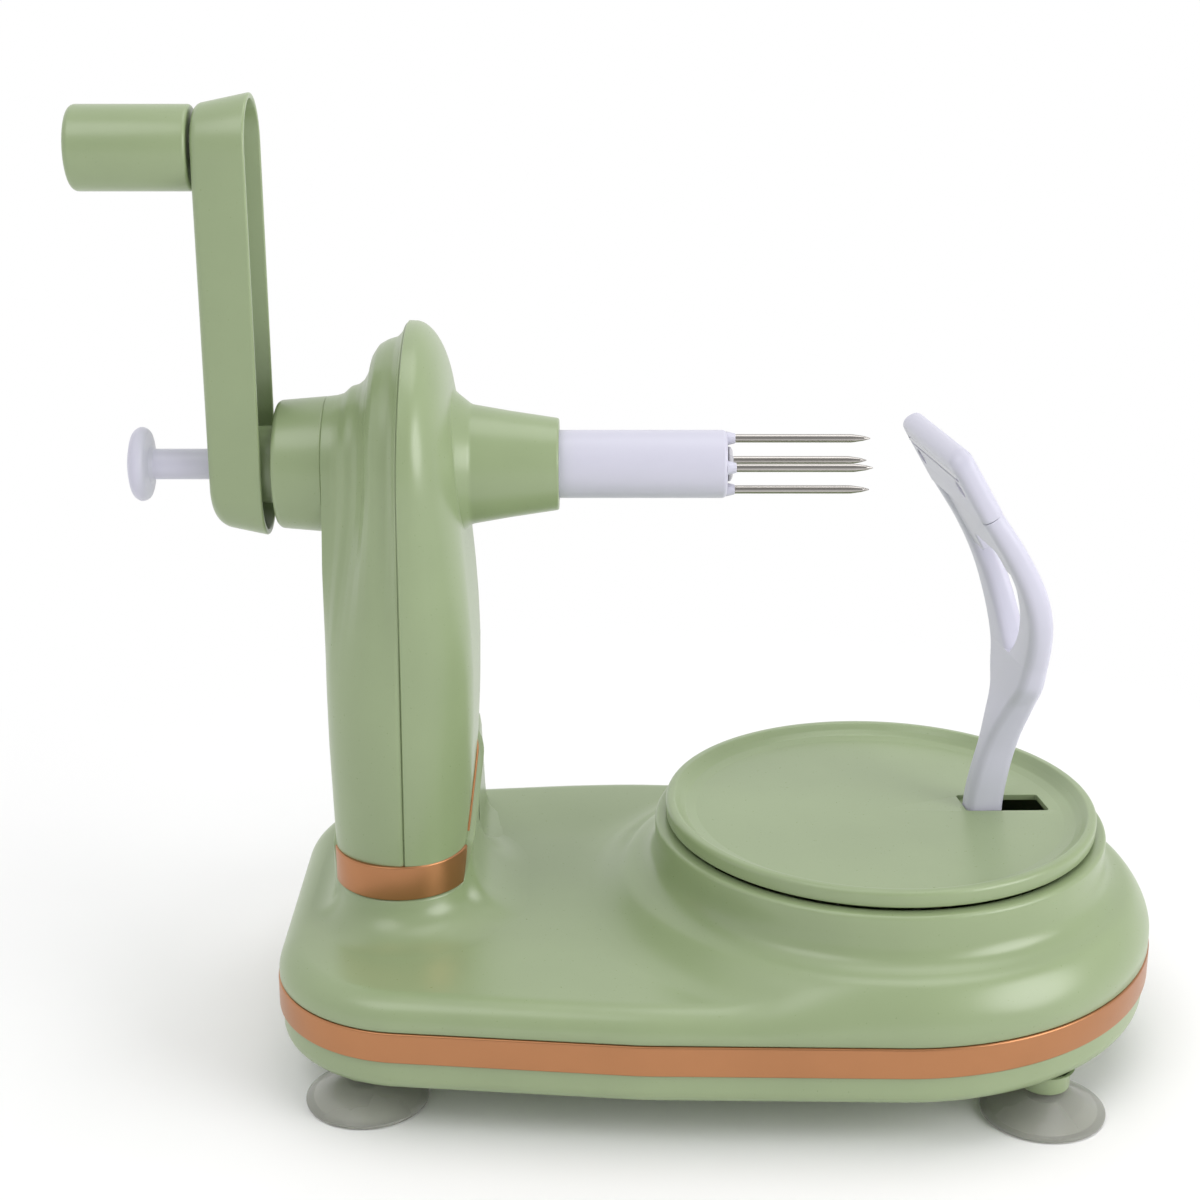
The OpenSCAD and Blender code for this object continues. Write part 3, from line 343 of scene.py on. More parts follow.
# Discs round which the base's outline runs, counter-clockwise: x, y, radius
BASE_DISCS = np.array([(TURN_X, 0.0, END_R), (SIDE_X, 0.0, SIDE_R), (CORNER_X, CORNER_Y, CORNER_R),
                       (CORNER_X, -CORNER_Y, CORNER_R), (SIDE_X, 0.0, SIDE_R)])
BOTTOM_Z, SHELL_Z, DECK_Z, DECK_R = 12.0, 28.2, 36.0, 6.5
TRIM_LO, TRIM_HI, TRIM_PROUD = 20.3, 28.1, 0.28
# The deck rises a little towards its back corner by the column
CROWN = 1.4
PEDESTAL_R, PEDESTAL_Z, WELL_R, WELL_Z = 57.0, 55.3, 52.6, 40.0
# Height of the pedestal's foot and of the step round it, over the distance from the turntable's axis
STEP = spline([(57.0, 49.5), (57.3, 47.0), (58.2, 45.0), (59.6, 43.7), (61.2, 42.9), (63.0, 42.3),
               (64.6, 41.6), (66.0, 40.6), (67.6, 39.4), (69.6, 38.1), (72.0, 36.9), (75.0, 35.6),
               (80.0, 33.0), (85.0, 30.0)], 6)
STEP_SOFT = 1.6
STEP_END = 78.0
FEET = [(-66.0, -43.5), (-66.0, 43.5), (97.7, -49.4), (97.7, 49.4)]


def base_path(arc_step=2.0, line_step=4.0):
    """Stations round the base's outline: centre x, y, radius and normal x, y."""
    ahead = np.roll(BASE_DISCS, -1, 0)
    gap = ahead[:, :2] - BASE_DISCS[:, :2]
    tangent = np.arctan2(gap[:, 1], gap[:, 0]) - np.arccos(
        (BASE_DISCS[:, 2] - ahead[:, 2]) / np.linalg.norm(gap, axis=1))
    tangent = tangent % (2 * math.pi)
    out = []
    for k, (c, d) in enumerate(zip(BASE_DISCS, ahead)):
        a0 = tangent[k - 1] - (2 * math.pi if k == 0 else 0)
        a1 = tangent[k]
        n = max(int(c[2] * (a1 - a0) / arc_step), 3)
        for a in np.linspace(a0, a1, n + 1):
            out.append((*c, math.cos(a), math.sin(a)))
        n = int(np.linalg.norm(d[:2] - c[:2]) / line_step)
        for i in range(1, n):
            out.append((*(c + (d - c) * i / n), math.cos(a1), math.sin(a1)))
    return np.array(out)


PATH = base_path()


def base_loop(out, z):
    """The base's outline at a height, moved out."""
    r = PATH[:, 2] + out
    return [(x, y, z) for x, y in zip(PATH[:, 0] + r * PATH[:, 3], PATH[:, 1] + r * PATH[:, 4])]


RAYS = np.linspace(0, 2 * np.pi, 720, endpoint=False)


def along_rays(xy):
    return xy[:, :1] * np.cos(RAYS) + xy[:, 1:2] * np.sin(RAYS)


RAY_REACH = along_rays(np.array(base_loop(0, 0))).max(0)


def inside(xy):
    """Distance of points from the base's outline, inwards."""
    return (RAY_REACH - along_rays(xy)).min(1)


def deck_height(xy):
    """Top of the base outside the pedestal, with its rounded edge."""
    r = np.linalg.norm(xy - (TURN_X, 0.0), axis=1)
    deck = DECK_Z + CROWN * smoothstep(xy[:, 1], 28.0, 62.0) * smoothstep(xy[:, 0], 40.0, -20.0)
    top = soft_max(np.interp(r, STEP[:, 0], STEP[:, 1]), deck, STEP_SOFT)
    d = np.clip(inside(xy), 0, DECK_R)
    return top - DECK_R + np.sqrt(np.maximum(DECK_R ** 2 - (DECK_R - d) ** 2, 0))


def deck_skin():
    """Loops from the pedestal's well over its wall, foot, step and deck down to the skirt."""
    ends = np.array(base_loop(0, 0))[:, :2]
    centre = np.array([TURN_X, 0.0])
    reach = np.linalg.norm(ends - centre, axis=1)
    aim = (ends - centre) / reach[:, None]

    def radius_at(depth):
        """Radii from the turntable's axis at which the outline is a depth away."""
        lo, hi = np.full(len(ends), PEDESTAL_R), reach.copy()
        for _ in range(24):
            mid = (lo + hi) / 2
            deep = inside(centre + aim * mid[:, None]) > depth
            lo, hi = np.where(deep, mid, lo), np.where(deep, hi, mid)
        return (lo + hi) / 2

    wall = rounded([(WELL_R, WELL_Z), (WELL_R, PEDESTAL_Z, 0.9), (PEDESTAL_R, PEDESTAL_Z, 0.9),
                    (PEDESTAL_R, 51.0)], 4)
    loops = [[(*(centre + a * r), z) for a in aim] for r, z in wall]
    edge_r = radius_at(DECK_R + 1.0)
    foot_r = PEDESTAL_R + 0.82 * (np.minimum(STEP_END, edge_r) - PEDESTAL_R)
    radii = [PEDESTAL_R + (foot_r - PEDESTAL_R) * t ** 1.6 for t in np.linspace(0.004, 1, 30)]
    radii += [foot_r + (edge_r - foot_r) * t for t in np.linspace(0, 1, 14)[1:]]
    radii += [radius_at(DECK_R * (1 - math.sin(a)) + 1e-3) for a in np.linspace(0, math.pi / 2, 15)]
    for r in radii:
        xy = centre + aim * r[:, None]
        loops.append([(*p, h) for p, h in zip(xy, deck_height(xy))])
    skirt = [(0, SHELL_Z + 0.3), (-0.3, SHELL_Z), (-2.0, SHELL_Z)]
    return loops + [base_loop(out, z) for out, z in skirt]


# Foot of the column: its middle, half width in X, half length in Y, and the band round it
COL_X, FOOT_R, FOOT_D = -58.9, 16.0, 27.0
BAND_LO, BAND_HI, BAND_T = 45.0, 54.0, 0.85
# The boot climbs the column from BOOT_Y backwards; it is thinner on the crank side
BOOT_Y, BOOT_SLOPE, BOOT_T, BOOT_THINNER = -15.0, 0.55, 1.9, 0.7
# Fillet from column to deck, under the band and at the boot, on the fork side and on the crank side
FILLET_H = ((9.0, 14.0), (7.0, 5.0))
FILLET_W = ((12.0, 13.0), (4.6, 5.6))
# Back of the boot: y and height over the deck
HEEL = spline([(14.0, 33.5), (20.0, 37.0), (25.0, 39.4), (28.0, 39.8), (30.5, 38.2), (34.0, 32.6),
               (38.0, 24.4), (43.0, 14.6), (49.0, 6.2), (55.0, 1.3), (59.0, -0.4)], 4)


def foot_path(steps, sides):
    """Stations round the column's foot: centre x, y and normal."""
    end = FOOT_D - FOOT_R
    out = []
    for way, start in ((1, 0.0), (-1, math.pi)):
        out += [(COL_X, way * (2 * end * i / sides - end), way, 0.0) for i in range(sides)]
        turns = [start + math.pi * i / steps for i in range(steps)]
        out += [(COL_X, way * end, math.cos(a), math.sin(a)) for a in turns]
    return np.array(out)


def foot_point(station, out, z):
    return (station[0] + (FOOT_R + out) * station[2], station[1] + (FOOT_R + out) * station[3], z)


def boot_share(station):
    """0 on the column's front, where the band shows, 1 where the base climbs it; and the y there."""
    y = station[1] + FOOT_R * station[3]
    return float(smoothstep(y, BOOT_Y - 3.0, BOOT_Y + 1.5)), y


def boot_top(y):
    return BAND_HI + max(y - BOOT_Y, 0) * BOOT_SLOPE


def face_x(z):
    """Fork side of the column at a height."""
    return np.interp(z, [45, 54, 65, 75, 87, 100, 110, 120, 133, 150, 165, 185],
                     [-42.9, -42.8, -41.6, -40.7, -40.1, -39.9, -40.2, -40.8, -41.9, -43.2, -44.4, -44.6])


def face_lift(z):
    """How far the fork side stands out beyond its foot."""
    return face_x(z) - face_x(BAND_LO)


def mixed(table, share, crank):
    """Value between band and boot by share, and between the fork and crank sides by crank."""
    fork_value, crank_value = (band + (boot - band) * share for band, boot in table)
    return fork_value + (crank_value - fork_value) * crank


def column_foot():
    """Collar under the band in front, the boot round the sides and back, and their fillet to the deck."""
    rows = []
    for st in foot_path(48, 24):
        share, y = boot_share(st)
        crank = max(-st[2], 0.0) ** 2
        out = BAND_T + share * (BOOT_T - BAND_T) - BOOT_THINNER * crank
        top = BAND_LO + share * (boot_top(y) - BAND_LO)
        high, wide = mixed(FILLET_H, share, crank), mixed(FILLET_W, share, crank)
        lift = face_lift(top) * share * max(st[2], 0)
        rim = top - 0.7
        profile = [(-1.2, top), (lift + 0.05, top), (lift + 0.5 * out, top - 0.12), (lift + out, rim)]
        for t in (0.35, 0.7):
            z = rim + (DECK_Z + high - rim) * t
            profile.append((out + lift * (1 - t) ** 2, min(z, profile[-1][1] - 0.01)))
        for a in np.linspace(0, math.pi / 2, 14):
            z = DECK_Z + high * (1 - math.sin(a))
            profile.append((out + wide * (1 - math.cos(a)), min(z, profile[-1][1] - 0.004)))
        profile.append((out + wide + 0.8, DECK_Z - 0.03))
        rows.append([foot_point(st, o, z) for o, z in profile])
    return [list(c) for c in zip(*rows)]


def heel():
    """Support behind the column, sloping down to the back edge."""
    low = DECK_Z - 0.05
    rows = []
    for y, h in HEEL:
        top_r = min(5.0, max(h, 0.2) * 0.35)
        row = []
        for s, foot, thinner in ((1, 12.0, 0.0), (-1, 4.6, BOOT_THINNER + 0.02)):
            half = FOOT_R + BOOT_T - thinner
            fillet = min(0.75 * foot, max(h, 0.2) * 0.6)
            side = rounded([(half + foot, low), (half, low, fillet), (half, DECK_Z + h, top_r),
                            (0.0, DECK_Z + h)], 7)
            row.append([(COL_X + s * x, y, z) for x, z in resample(side, 28)])
        rows.append(row[0] + row[1][::-1])
    return rows


def base_shell():
    b = Build()
    b.grid(deck_skin(), wrap_cols=True)
    b.grid(column_foot(), wrap_cols=True)
    b.grid(heel())
    belongs(b.object("base_upper_shell", GREEN, 50), "base", "body", "base_shell")


def base_trim():
    section = rounded([(-1.6, TRIM_LO), (TRIM_PROUD, TRIM_LO, 0.5), (TRIM_PROUD, TRIM_HI, 0.5),
                       (-1.6, TRIM_HI)], 5)
    b = Build()
    b.grid([base_loop(out, z) for out, z in section], wrap_cols=True)
    belongs(b.object("base_trim_ring", COPPER, 50), "base", "trim", "base_trim")


def base_underside():
    """Tray under the trim, with a socket for each suction foot."""
    section = rounded([(-2.5, 20.4), (-0.6, 20.4, 0.3), (-0.6, BOTTOM_Z, 7.0), (-12.0, BOTTOM_Z)], 9)
    socket = rounded([(4.2, 7.4), (6.0, 7.4, 0.5), (6.0, 12.4, 0.3), (7.0, 12.4)], 4)
    rows = [base_loop(out, z) for out, z in section]
    b = Build()
    b.grid(rows, wrap_cols=True)
    b.cap(rows[-1][::-1])
    for x, y in FEET:
        b.lathe(socket, on_z(x, y), 48)
    belongs(b.object("base_underside", GREEN, 50), "base", "body", "base_bottom")


def suction_feet():
    profile = rounded([(0, 4.2), (4.5, 4.2, 1), (9.3, 2.2, 3), (12.4, 0.05, 0.2), (15.0, 0.05, 0.4),
                       (15.0, 0.95, 0.4), (10.8, 3.5, 5), (6.4, 6.0, 2), (4.0, 6.9, 0.4),
                       (4.0, 14.0, 0.2), (0, 14.0)], 6)
    b = Build()
    for x, y in FEET:
        b.lathe(profile, on_z(x, y), 72)
    belongs(b.object("suction_feet", CUP, 50), "base", "cups", "suction_cups")


base_shell()
base_trim()
base_underside()
suction_feet()


# Column

HEAD_R = 34.6
LEG_LEAN = math.radians(-4.67)
SEAM_INSET, SEAM_GAP = 0.45, 0.03
BOSS_END = -87.0
SCREW_Y, SCREW_Z = 1, 88
# Crank side over the head: inset from the outline, and distance from the seam
TERRACE = rounded([(0.5, 0.0), (0.7, -0.35, 0.3), (2.3, -1.1, 1.2), (3.75, -2.5, 0.35), (4.5, -5.1, 3),
                   (5.6, -7.3, 1.6), (7.8, -8.9, 1.6), (11.2, -9.75, 1.5), (14.0, -11.4, 1.2),
                   (15.2, -13.0, 1.0), (15.7, -15.0, 1.2), (17.4, -17.0, 1.0), (17.9, -18.8, 0.5),
                   (18.2, -21.5)], 4)
TERRACE_DEPTH = TERRACE[-1][1]


def column_path(steps=34):
    """Stations over the column's outline in the YZ plane: y, z, normal y, normal z."""
    half = [(FOOT_D, z, 1.0, 0.0) for z in (45.0, 49.0, 53.0)]
    low = np.array([FOOT_D, BAND_HI])
    high = np.array([HEAD_R * math.cos(LEG_LEAN), AXIS_Z + HEAD_R * math.sin(LEG_LEAN)])
    for t in np.arange(1, steps) / (steps - 1):
        lean = LEG_LEAN * min(t * 6, 1)
        half.append((*(low + (high - low) * t), math.cos(lean), math.sin(lean)))
    for t in np.arange(1, steps + 1) / steps:
        a = LEG_LEAN + (math.pi / 2 - LEG_LEAN) * t
        half.append((HEAD_R * math.cos(a), AXIS_Z + HEAD_R * math.sin(a), math.cos(a), math.sin(a)))
    return np.array([(-y, z, -ny, nz) for y, z, ny, nz in half] + half[-2::-1])


SPINE = column_path()


def seam_x(z):
    return -57.15 + (z - BAND_HI) * (1.95 / 128)


def column_half(name, profile_at):
    """Skin from the seam to the face, filled across between the two legs and closed at seam and foot."""
    rows = [[(x, st[0] - st[2] * i, st[1] - st[3] * i) for i, x in profile_at(st)] for st in SPINE]
    b = Build()
    b.grid(rows)
    n, cols = len(rows), len(rows[0])
    face = [i * cols + cols - 1 for i in range(n)]
    for k in range(n // 2 - 1):
        b.faces.append((face[k], face[k + 1], face[n - 2 - k], face[n - 1 - k]))
    b.faces.append(tuple(i * cols for i in range(n)))
    b.faces.append((*range(cols), *reversed(range((n - 1) * cols, n * cols))))
    return b.object(name, GREEN, 44)


def fork_profile(st):
    """Inset and x from the seam to the fork side's face."""
    head = float(smoothstep(st[1], 104, 150))
    inset = 16 + 4 * head
    seam = seam_x(st[1])
    ledge = seam + 0.35 + 1.2 * head
    out = [(SEAM_INSET, seam + SEAM_GAP), (0.0, seam + 0.35)]
    for a in np.linspace(0, math.pi / 2, 17)[1:]:
        i = inset * (1 - math.cos(a))
        out.append((i, ledge + (face_x(st[1] - st[3] * i) - ledge) * math.sin(a)))
    return out


def crank_profile(st, count=56):
    """Inset and x from the seam to the crank side's face: rounded at the legs, terraced at the head."""
    head = float(smoothstep(st[1], 92, 152))
    seam = seam_x(st[1])
    depth = np.interp(st[1], [45, 54, 80, 125, 145], [-75.2, -75.5, -75.9, -75.6, -74.9]) - seam
    terrace = resample(TERRACE, count) * (1, depth / TERRACE_DEPTH)
    turns = np.linspace(0, math.pi / 2, count)
    leg = np.stack([16.4 * (1 - np.cos(turns)), depth * np.sin(turns)], 1)
    step = 0.3 * (1 - head)
    mix = (leg * (1 - head) + terrace * head)[1:]
    return [(SEAM_INSET, seam - SEAM_GAP)] + [(i, seam - step + x * (1 + step / depth)) for i, x in mix]


def column_shells():
    """Both halves, each with its turned nose or boss."""
    belongs(column_half("column_fork_half", fork_profile), "base", "body", "fork_shell")
    nose = [(8.6, -22.0), (8.45, -19.4, 0.2), (8.6, -19.1, 0.1), (11.1, -19.1, 0.6), (12.9, -31.0, 8),
            (14.5, -40.2, 3), (17.0, -43.3, 3), (20.0, -46.5)]
    belongs(turned("column_nose", nose, 6, on_x(), 128, GREEN), "base", "body")
    crank_half = column_half("column_crank_half", crank_profile)
    cut(crank_half, [prism("hole", circle_plan(3.1, 32), -80, -71.8, on_x(SCREW_Y, SCREW_Z))], 0.35)
    belongs(crank_half, "base", "body", "crank_shell")
    boss = [(8.7, BOSS_END + 5), (8.7, BOSS_END + 0.5, 0.3), (9.2, BOSS_END, 0.2), (15.4, BOSS_END, 1.6),
            (16.4, -75.2, 0.3), (14.0, -72.5)]
    belongs(turned("column_crank_boss", boss, 6, on_x(), 128, GREEN), "base", "body")


def boot_line():
    """Thin metallic line along the boot's upper edge on the fork side."""
    rows = []
    for st in foot_path(48, 24):
        share, y = boot_share(st)
        if share < 1 or y < BOOT_Y + 3.5 or st[2] < 0.02:
            continue
        top = boot_top(y)
        lift = face_lift(top) * st[2]
        edge = rounded([(lift, top - 0.2), (lift, top + 0.25, 0.08), (lift + 0.5, top + 0.2, 0.12),
                        (lift + 0.6, top - 0.3)], 3)
        rows.append([foot_point(st, out, z) for out, z in edge])
    b = Build()
    b.strip(rows)
    belongs(b.object("boot_edge_trim", COPPER, 50), "base", "trim")


def band_stations():
    """Stations of the column's foot in front of the boot, in one run."""
    found = [st for st in foot_path(64, 22) if boot_share(st)[1] < BOOT_Y + 1.2]
    at = [st[:2] + FOOT_R * st[2:] for st in found]
    first = next(i for i in range(len(at)) if np.linalg.norm(at[i] - at[i - 1]) > 10)
    return found[first:] + found[:first]


def column_band():
    low, high = BAND_LO + 0.05, BAND_HI - 0.05
    section = rounded([(-0.4, low), (BAND_T, low, 0.4), (BAND_T, high, 0.45), (-0.4, high)], 5)
    b = Build()
    b.strip([[foot_point(st, out, z) for out, z in section] for st in band_stations()])
    belongs(b.object("column_band_ring", COPPER, 50), "base", "trim", "column_band")


column_shells()
boot_line()
column_band()


# Crank

ARM_X0, ARM_X1, ARM_WALL = -102.6, -89.6, 2.0
ARM_R, ARM_TIP = 12.6, 17.4
ARM_LOW = AXIS_Z - ARM_TIP + ARM_R
HUB_END = -87.35
GRIP_X0, GRIP_X1, GRIP_R, GRIP_Z = -131.6, -103.4, 9.9, 223.6
RIB_Y = 4.2


def arm_stations(steps=30, sides=30):
    """Stations round the crank arm: centre z and normal y, z."""
    out = [(ARM_LOW, math.cos(a), math.sin(a)) for a in np.linspace(-math.pi, 0, steps)]
    out += [(z, 1.0, 0.0) for z in np.linspace(ARM_LOW, GRIP_Z, sides + 2)[1:-1]]
    out += [(GRIP_Z, math.cos(a), math.sin(a)) for a in np.linspace(0, math.pi, steps)]
    out += [(z, -1.0, 0.0) for z in np.linspace(GRIP_Z, ARM_LOW, sides + 2)[1:-1]]
    return out


def arm_section(low):
    """Channel section; low rises to 1 at the lower tip, which is rounded more."""
    floor_r = 6.0 - 5.2 * low
    floor_x = ARM_X0 + ARM_WALL
    return rounded([(floor_r, ARM_X0), (9.9, ARM_X0, 3.0 + 7.5 * low), (ARM_R, ARM_X1, 0.5),
                    (ARM_R - 1.4, ARM_X1, 0.5), (8.9, floor_x, 1.2 + 7.5 * low), (floor_r, floor_x)], 9)


def crank_lever():
    """Open channel with a hub on the shaft, a socket for the grip's pin and two ribs between them."""
    floor_x, root_x, mouth_x, socket_x = ARM_X0 + ARM_WALL, ARM_X0 + 1.6, ARM_X1 - 0.3, ARM_X0 + 7.8
    hub = [(5.6, floor_x), (5.6, mouth_x, 0.2), (8.8, mouth_x, 0.1), (8.8, HUB_END, 0.1),
           (9.4, HUB_END, 0.25), (9.3, ARM_X1 - 1, 0.5), (8.7, floor_x, 1), (10.0, root_x)]
    socket = [(4.05, floor_x), (4.05, socket_x, 0.2), (7.0, socket_x, 0.6), (7.2, floor_x, 1),
              (8.4, root_x)]
    rows = [[(x, r * ny, z + r * nz) for r, x in arm_section(max(-nz, 0.0))] for z, ny, nz in arm_stations()]
    b = Build()
    b.grid(rows, wrap_rows=True)
    b.cap([row[0] for row in rows])
    b.cap([row[-1] for row in rows][::-1])
    b.lathe(rounded(hub, 5), on_x(), 72)
    b.lathe(rounded(socket, 5), on_x(0, GRIP_Z), 72)
    for y in (-RIB_Y, RIB_Y):
        rib = rounded_box_plan(y - 0.7, y + 0.7, AXIS_Z + 7.5, GRIP_Z - 6.5, 0.5, 3)
        pad(b, rib, ARM_X0 + 1.8, ARM_X0 + 6.5, 0.2, 0.4, on_x(0, 0), 3)
    belongs(b.object("crank_lever", GREEN, 44), "crank", "body", "crank_arm")


def handgrip():
    grip = [(6.4, GRIP_X0 + 1.6), (6.4, GRIP_X0 + 0.2, 0.15), (6.6, GRIP_X0, 0.15), (GRIP_R, GRIP_X0, 1.7),
            (GRIP_R, GRIP_X1, 0.8), (4.2, GRIP_X1)]
    cap = [(0, GRIP_X0 + 0.25), (5.2, GRIP_X0 + 0.15, 1), (6.25, GRIP_X0 + 0.1, 0.3), (6.25, GRIP_X0 + 1.6)]
    axis = on_x(0, GRIP_Z)
    belongs(turned("crank_handgrip", grip, 7, axis, 96, GREEN, 44), "grip", "body", "crank_grip")
    belongs(turned("handgrip_cap", cap, 5, axis, 72, GREEN, 44), "grip", "body", "grip_cap")


crank_lever()
handgrip()


# Fork and ejector

BARREL_X0, BARREL_X1, BARREL_R = -19.35, 21.4, 8.25
PRONG_R, PRONG_RING, PRONG_TURN = 1.03, 6.25, -6


def prong_axes():
    turns = [math.radians(PRONG_TURN + 90 * k) for k in range(4)]
    return [on_x(PRONG_RING * math.cos(a), AXIS_Z + PRONG_RING * math.sin(a)) for a in turns]


def ejector():
    rod = [(0, -122.9), (5.0, -122.8, 6), (8.2, -121.9, 2.2), (9.1, -120.2, 1.4), (8.4, -118.3, 1.6),
           (4.6, -117.9, 0.6), (3.7, -117.0, 0.6), (3.7, 21.6)]
    tip = [(0, 22.9), (3.4, 22.8, 0.5), (4.2, 22.3, 0.4), (4.2, 21.75, 0.2), (0, 21.75)]
    belongs(turned("ejector_push_rod", rod, 6, on_x(), 96, WHITE), "ejector", "white", "push_rod")
    belongs(turned("ejector_pad", tip, 5, on_x(), 64, TIP), "ejector", "steel", "ejector_tip")


def fork():
    """Barrel with a collar round each prong, and the prongs."""
    barrel = rounded([(5.6, BARREL_X0), (BARREL_R, BARREL_X0), (BARREL_R, BARREL_X1, 1.1),
                      (4.6, BARREL_X1, 0.3), (4.6, 18.0)], 6)
    collar = rounded([(1.7, 21.2), (1.62, 21.7, 0.4), (1.22, 23.4, 0.15), (PRONG_R, 23.45)], 4)
    prong = rounded([(PRONG_R, 12.5), (PRONG_R, 51.6, 6), (0.62, 54.4, 3), (0.16, 56.0, 0.2), (0, 56.15)], 5)
    tube, prongs = Build(), Build()
    tube.lathe(barrel, on_x(), 128)
    for axis in prong_axes():
        tube.lathe(collar, axis, 40)
        prongs.lathe(prong, axis, 40)
    belongs(tube.object("fork_barrel", WHITE, 50), "crank", "white", "fork_tube")
    belongs(prongs.object("fork_prong_set", STEEL, 50), "crank", "steel", "fork_prongs")


ejector()
fork()


# Turntable

ARM_SPIN = Matrix.Translation((TURN_X, 0, 0)) @ Matrix.Rotation(ARM_TURN, 4, "Z")
PLATE_R, PLATE_LO, PLATE_FLOOR = 54.5, 55.8, 57.25
# Slot for the peeler arm, along and across its swing
SLOT_U0, SLOT_U1, SLOT_V, SLOT_HALF = 22.2, 43.2, 0.85, 5
SLOT_SKEW = math.radians(7)


def arm_place(u, v, z):
    """Point given along and across the peeler arm's swing."""
    return tuple(ARM_SPIN @ Vector((u, v, z)))


def slot_plan():
    far_v = SLOT_V - (SLOT_U1 - SLOT_U0) * math.tan(SLOT_SKEW)
    corners = [(SLOT_U0, SLOT_V - SLOT_HALF, 0.8), (SLOT_U1, far_v - SLOT_HALF, 0.8),
               (SLOT_U1, far_v + SLOT_HALF, 0.8), (SLOT_U0, SLOT_V + SLOT_HALF, 0.8)]
    return rounded([corners[-1]] + corners + [corners[0]], 4)[1:-1]


def turntable_top():
    profile = [(0, PLATE_LO), (51.9, PLATE_LO, 0.3), (51.9, 56.25, 0.2), (54.3, 56.25, 0.5),
               (PLATE_R, 60.3, 1.7), (52.2, 60.4, 0.8), (50.8, 58.9, 1.2), (49.4, 57.7, 1.4),
               (46.6, PLATE_FLOOR, 1.0), (0, PLATE_FLOOR)]
    plate = turned("turntable_top", profile, 6, on_z(TURN_X, 0), 192, GREEN)
    cut(plate, [prism("slot", slot_plan(), 50, 65, arm_place)], 0.3)
    belongs(plate, "turntable", "body", "turntable_plate")


def turntable_hub():
    """Sleeve on the post, and the two cheeks that hold the arm's hinge pin."""
    b = Build()
    b.lathe(rounded([(5.1, 20.0), (9.0, 20.0, 0.5), (9.0, 56.0)], 4), on_z(TURN_X, 0), 64)
    cheek = rounded_box_plan(22.1, 32.9, 30.4, 56.2, 2.0)
    for v in (3.2, -10.0):
        pad(b, cheek, v, v + 3, 0.4, 0.4, lambda a, b, h: arm_place(a, h, b))
    belongs(b.object("turntable_hub", GREEN, 44), "turntable", "body")


turntable_top()
turntable_hub()


# Peeler arm

V_SHIFT = -0.4
HINGE_U, HINGE_Z = 27.5, 36.0
HEAD_U, HEAD_Z = 18.5, 139.7
WINDOW_Z = 99.5
EDGE_R = 2.2
# Middle of the arm from hinge to head: u, z and half thickness
ARM_SPINE = spline([(HINGE_U, HINGE_Z, 4.8), (HINGE_U, 58.4, 4.8), (31, 77, 4.2), (33.6, 88, 3.6),
                    (34.4, 99, 3.2), (33.2, 110, 3.1), (30.2, 120, 3.0), (25, 130, 2.8),
                    (HEAD_U, HEAD_Z, 2.6)], 8)
# Half width of the arm over z
OUTLINE = spline([(28, 3.3), (64.4, 3.3), (76, 4.2), (86, 8), (92, 12), (98, 14.2), (105, 17.6),
                  (112, 20.6), (120, 22.3), (128, 22.5), (150, 22.5)], 6)
# Half width of the window between its two legs over z
WINDOW = spline([(WINDOW_Z, 0.2), (101.2, 2.6), (104, 5.2), (108, 8.2), (113, 11.0), (119, 13.6),
                 (125, 15.4), (150, 16.4)], 6)
# Blade head: turned with the arm, leaning back from its upper end
HEAD_LEAN = math.radians(-30.5)
HEAD = (ARM_SPIN @ Matrix.Translation((HEAD_U, V_SHIFT, HEAD_Z))
        @ Matrix.Rotation(HEAD_LEAN, 4, "Y"))
HEAD_TOP, HEAD_HALF, HEAD_CORNER, HEAD_ROUND, HEAD_DEEP = 19.0, 17.5, 5.0, 2.6, 2.75
PIN_Y, PIN_Z = 16, 8.8


def head_place(x, y, z):
    """Point given through, across and up the blade head."""
    return tuple(HEAD @ Vector((x, y, z)))


def through_head(a, b, h):
    return head_place(h, a, b)


def pin_axis(side):
    return lambda a, b, h: head_place(h, side * PIN_Y + a, PIN_Z + b)


def arm_run(lo, hi, side):
    """Rounded sections up the spine: the whole width for side 0, else one leg beside the window."""
    aim = np.gradient(ARM_SPINE[:, :2], axis=0)
    aim /= np.linalg.norm(aim, axis=1)[:, None]
    rows = []
    for (u, z, t), (du, dz) in zip(ARM_SPINE, aim):
        if not lo <= z <= hi:
            continue
        half = np.interp(z, OUTLINE[:, 0], OUTLINE[:, 1])
        gap = np.interp(z, WINDOW[:, 0], WINDOW[:, 1]) if z > WINDOW_Z else 0.0
        v_lo, v_hi = (-half, half) if side == 0 else sorted((side * max(gap, 0.01), side * half))
        r = min(EDGE_R, 0.49 * (v_hi - v_lo), 0.49 * 2 * t)
        plan = rounded_box_plan(-t, t, v_lo, v_hi, r, 4)
        rows.append([arm_place(u + a * dz, V_SHIFT + b, z - a * du) for a, b in plan])
    return rows


def peeler_arm():
    """Stem, two legs round the window and the eye on the hinge pin."""
    b = Build()
    b.loft(arm_run(HINGE_Z, WINDOW_Z + 0.7, 0))
    for side in (-1, 1):
        b.loft(arm_run(WINDOW_Z - 1.5, HEAD_Z + 0.1, side))
    eye = rounded([(2.1, -3.3), (5.4, -3.3, 0.5), (5.4, 3.3, 0.5), (2.1, 3.3)], 4)
    b.lathe(eye, lambda a, b, h: arm_place(HINGE_U + a, V_SHIFT + h, HINGE_Z + b), 48)
    belongs(b.object("peeler_fork_arm", WHITE, 44), "arm", "white", "peeler_arm")


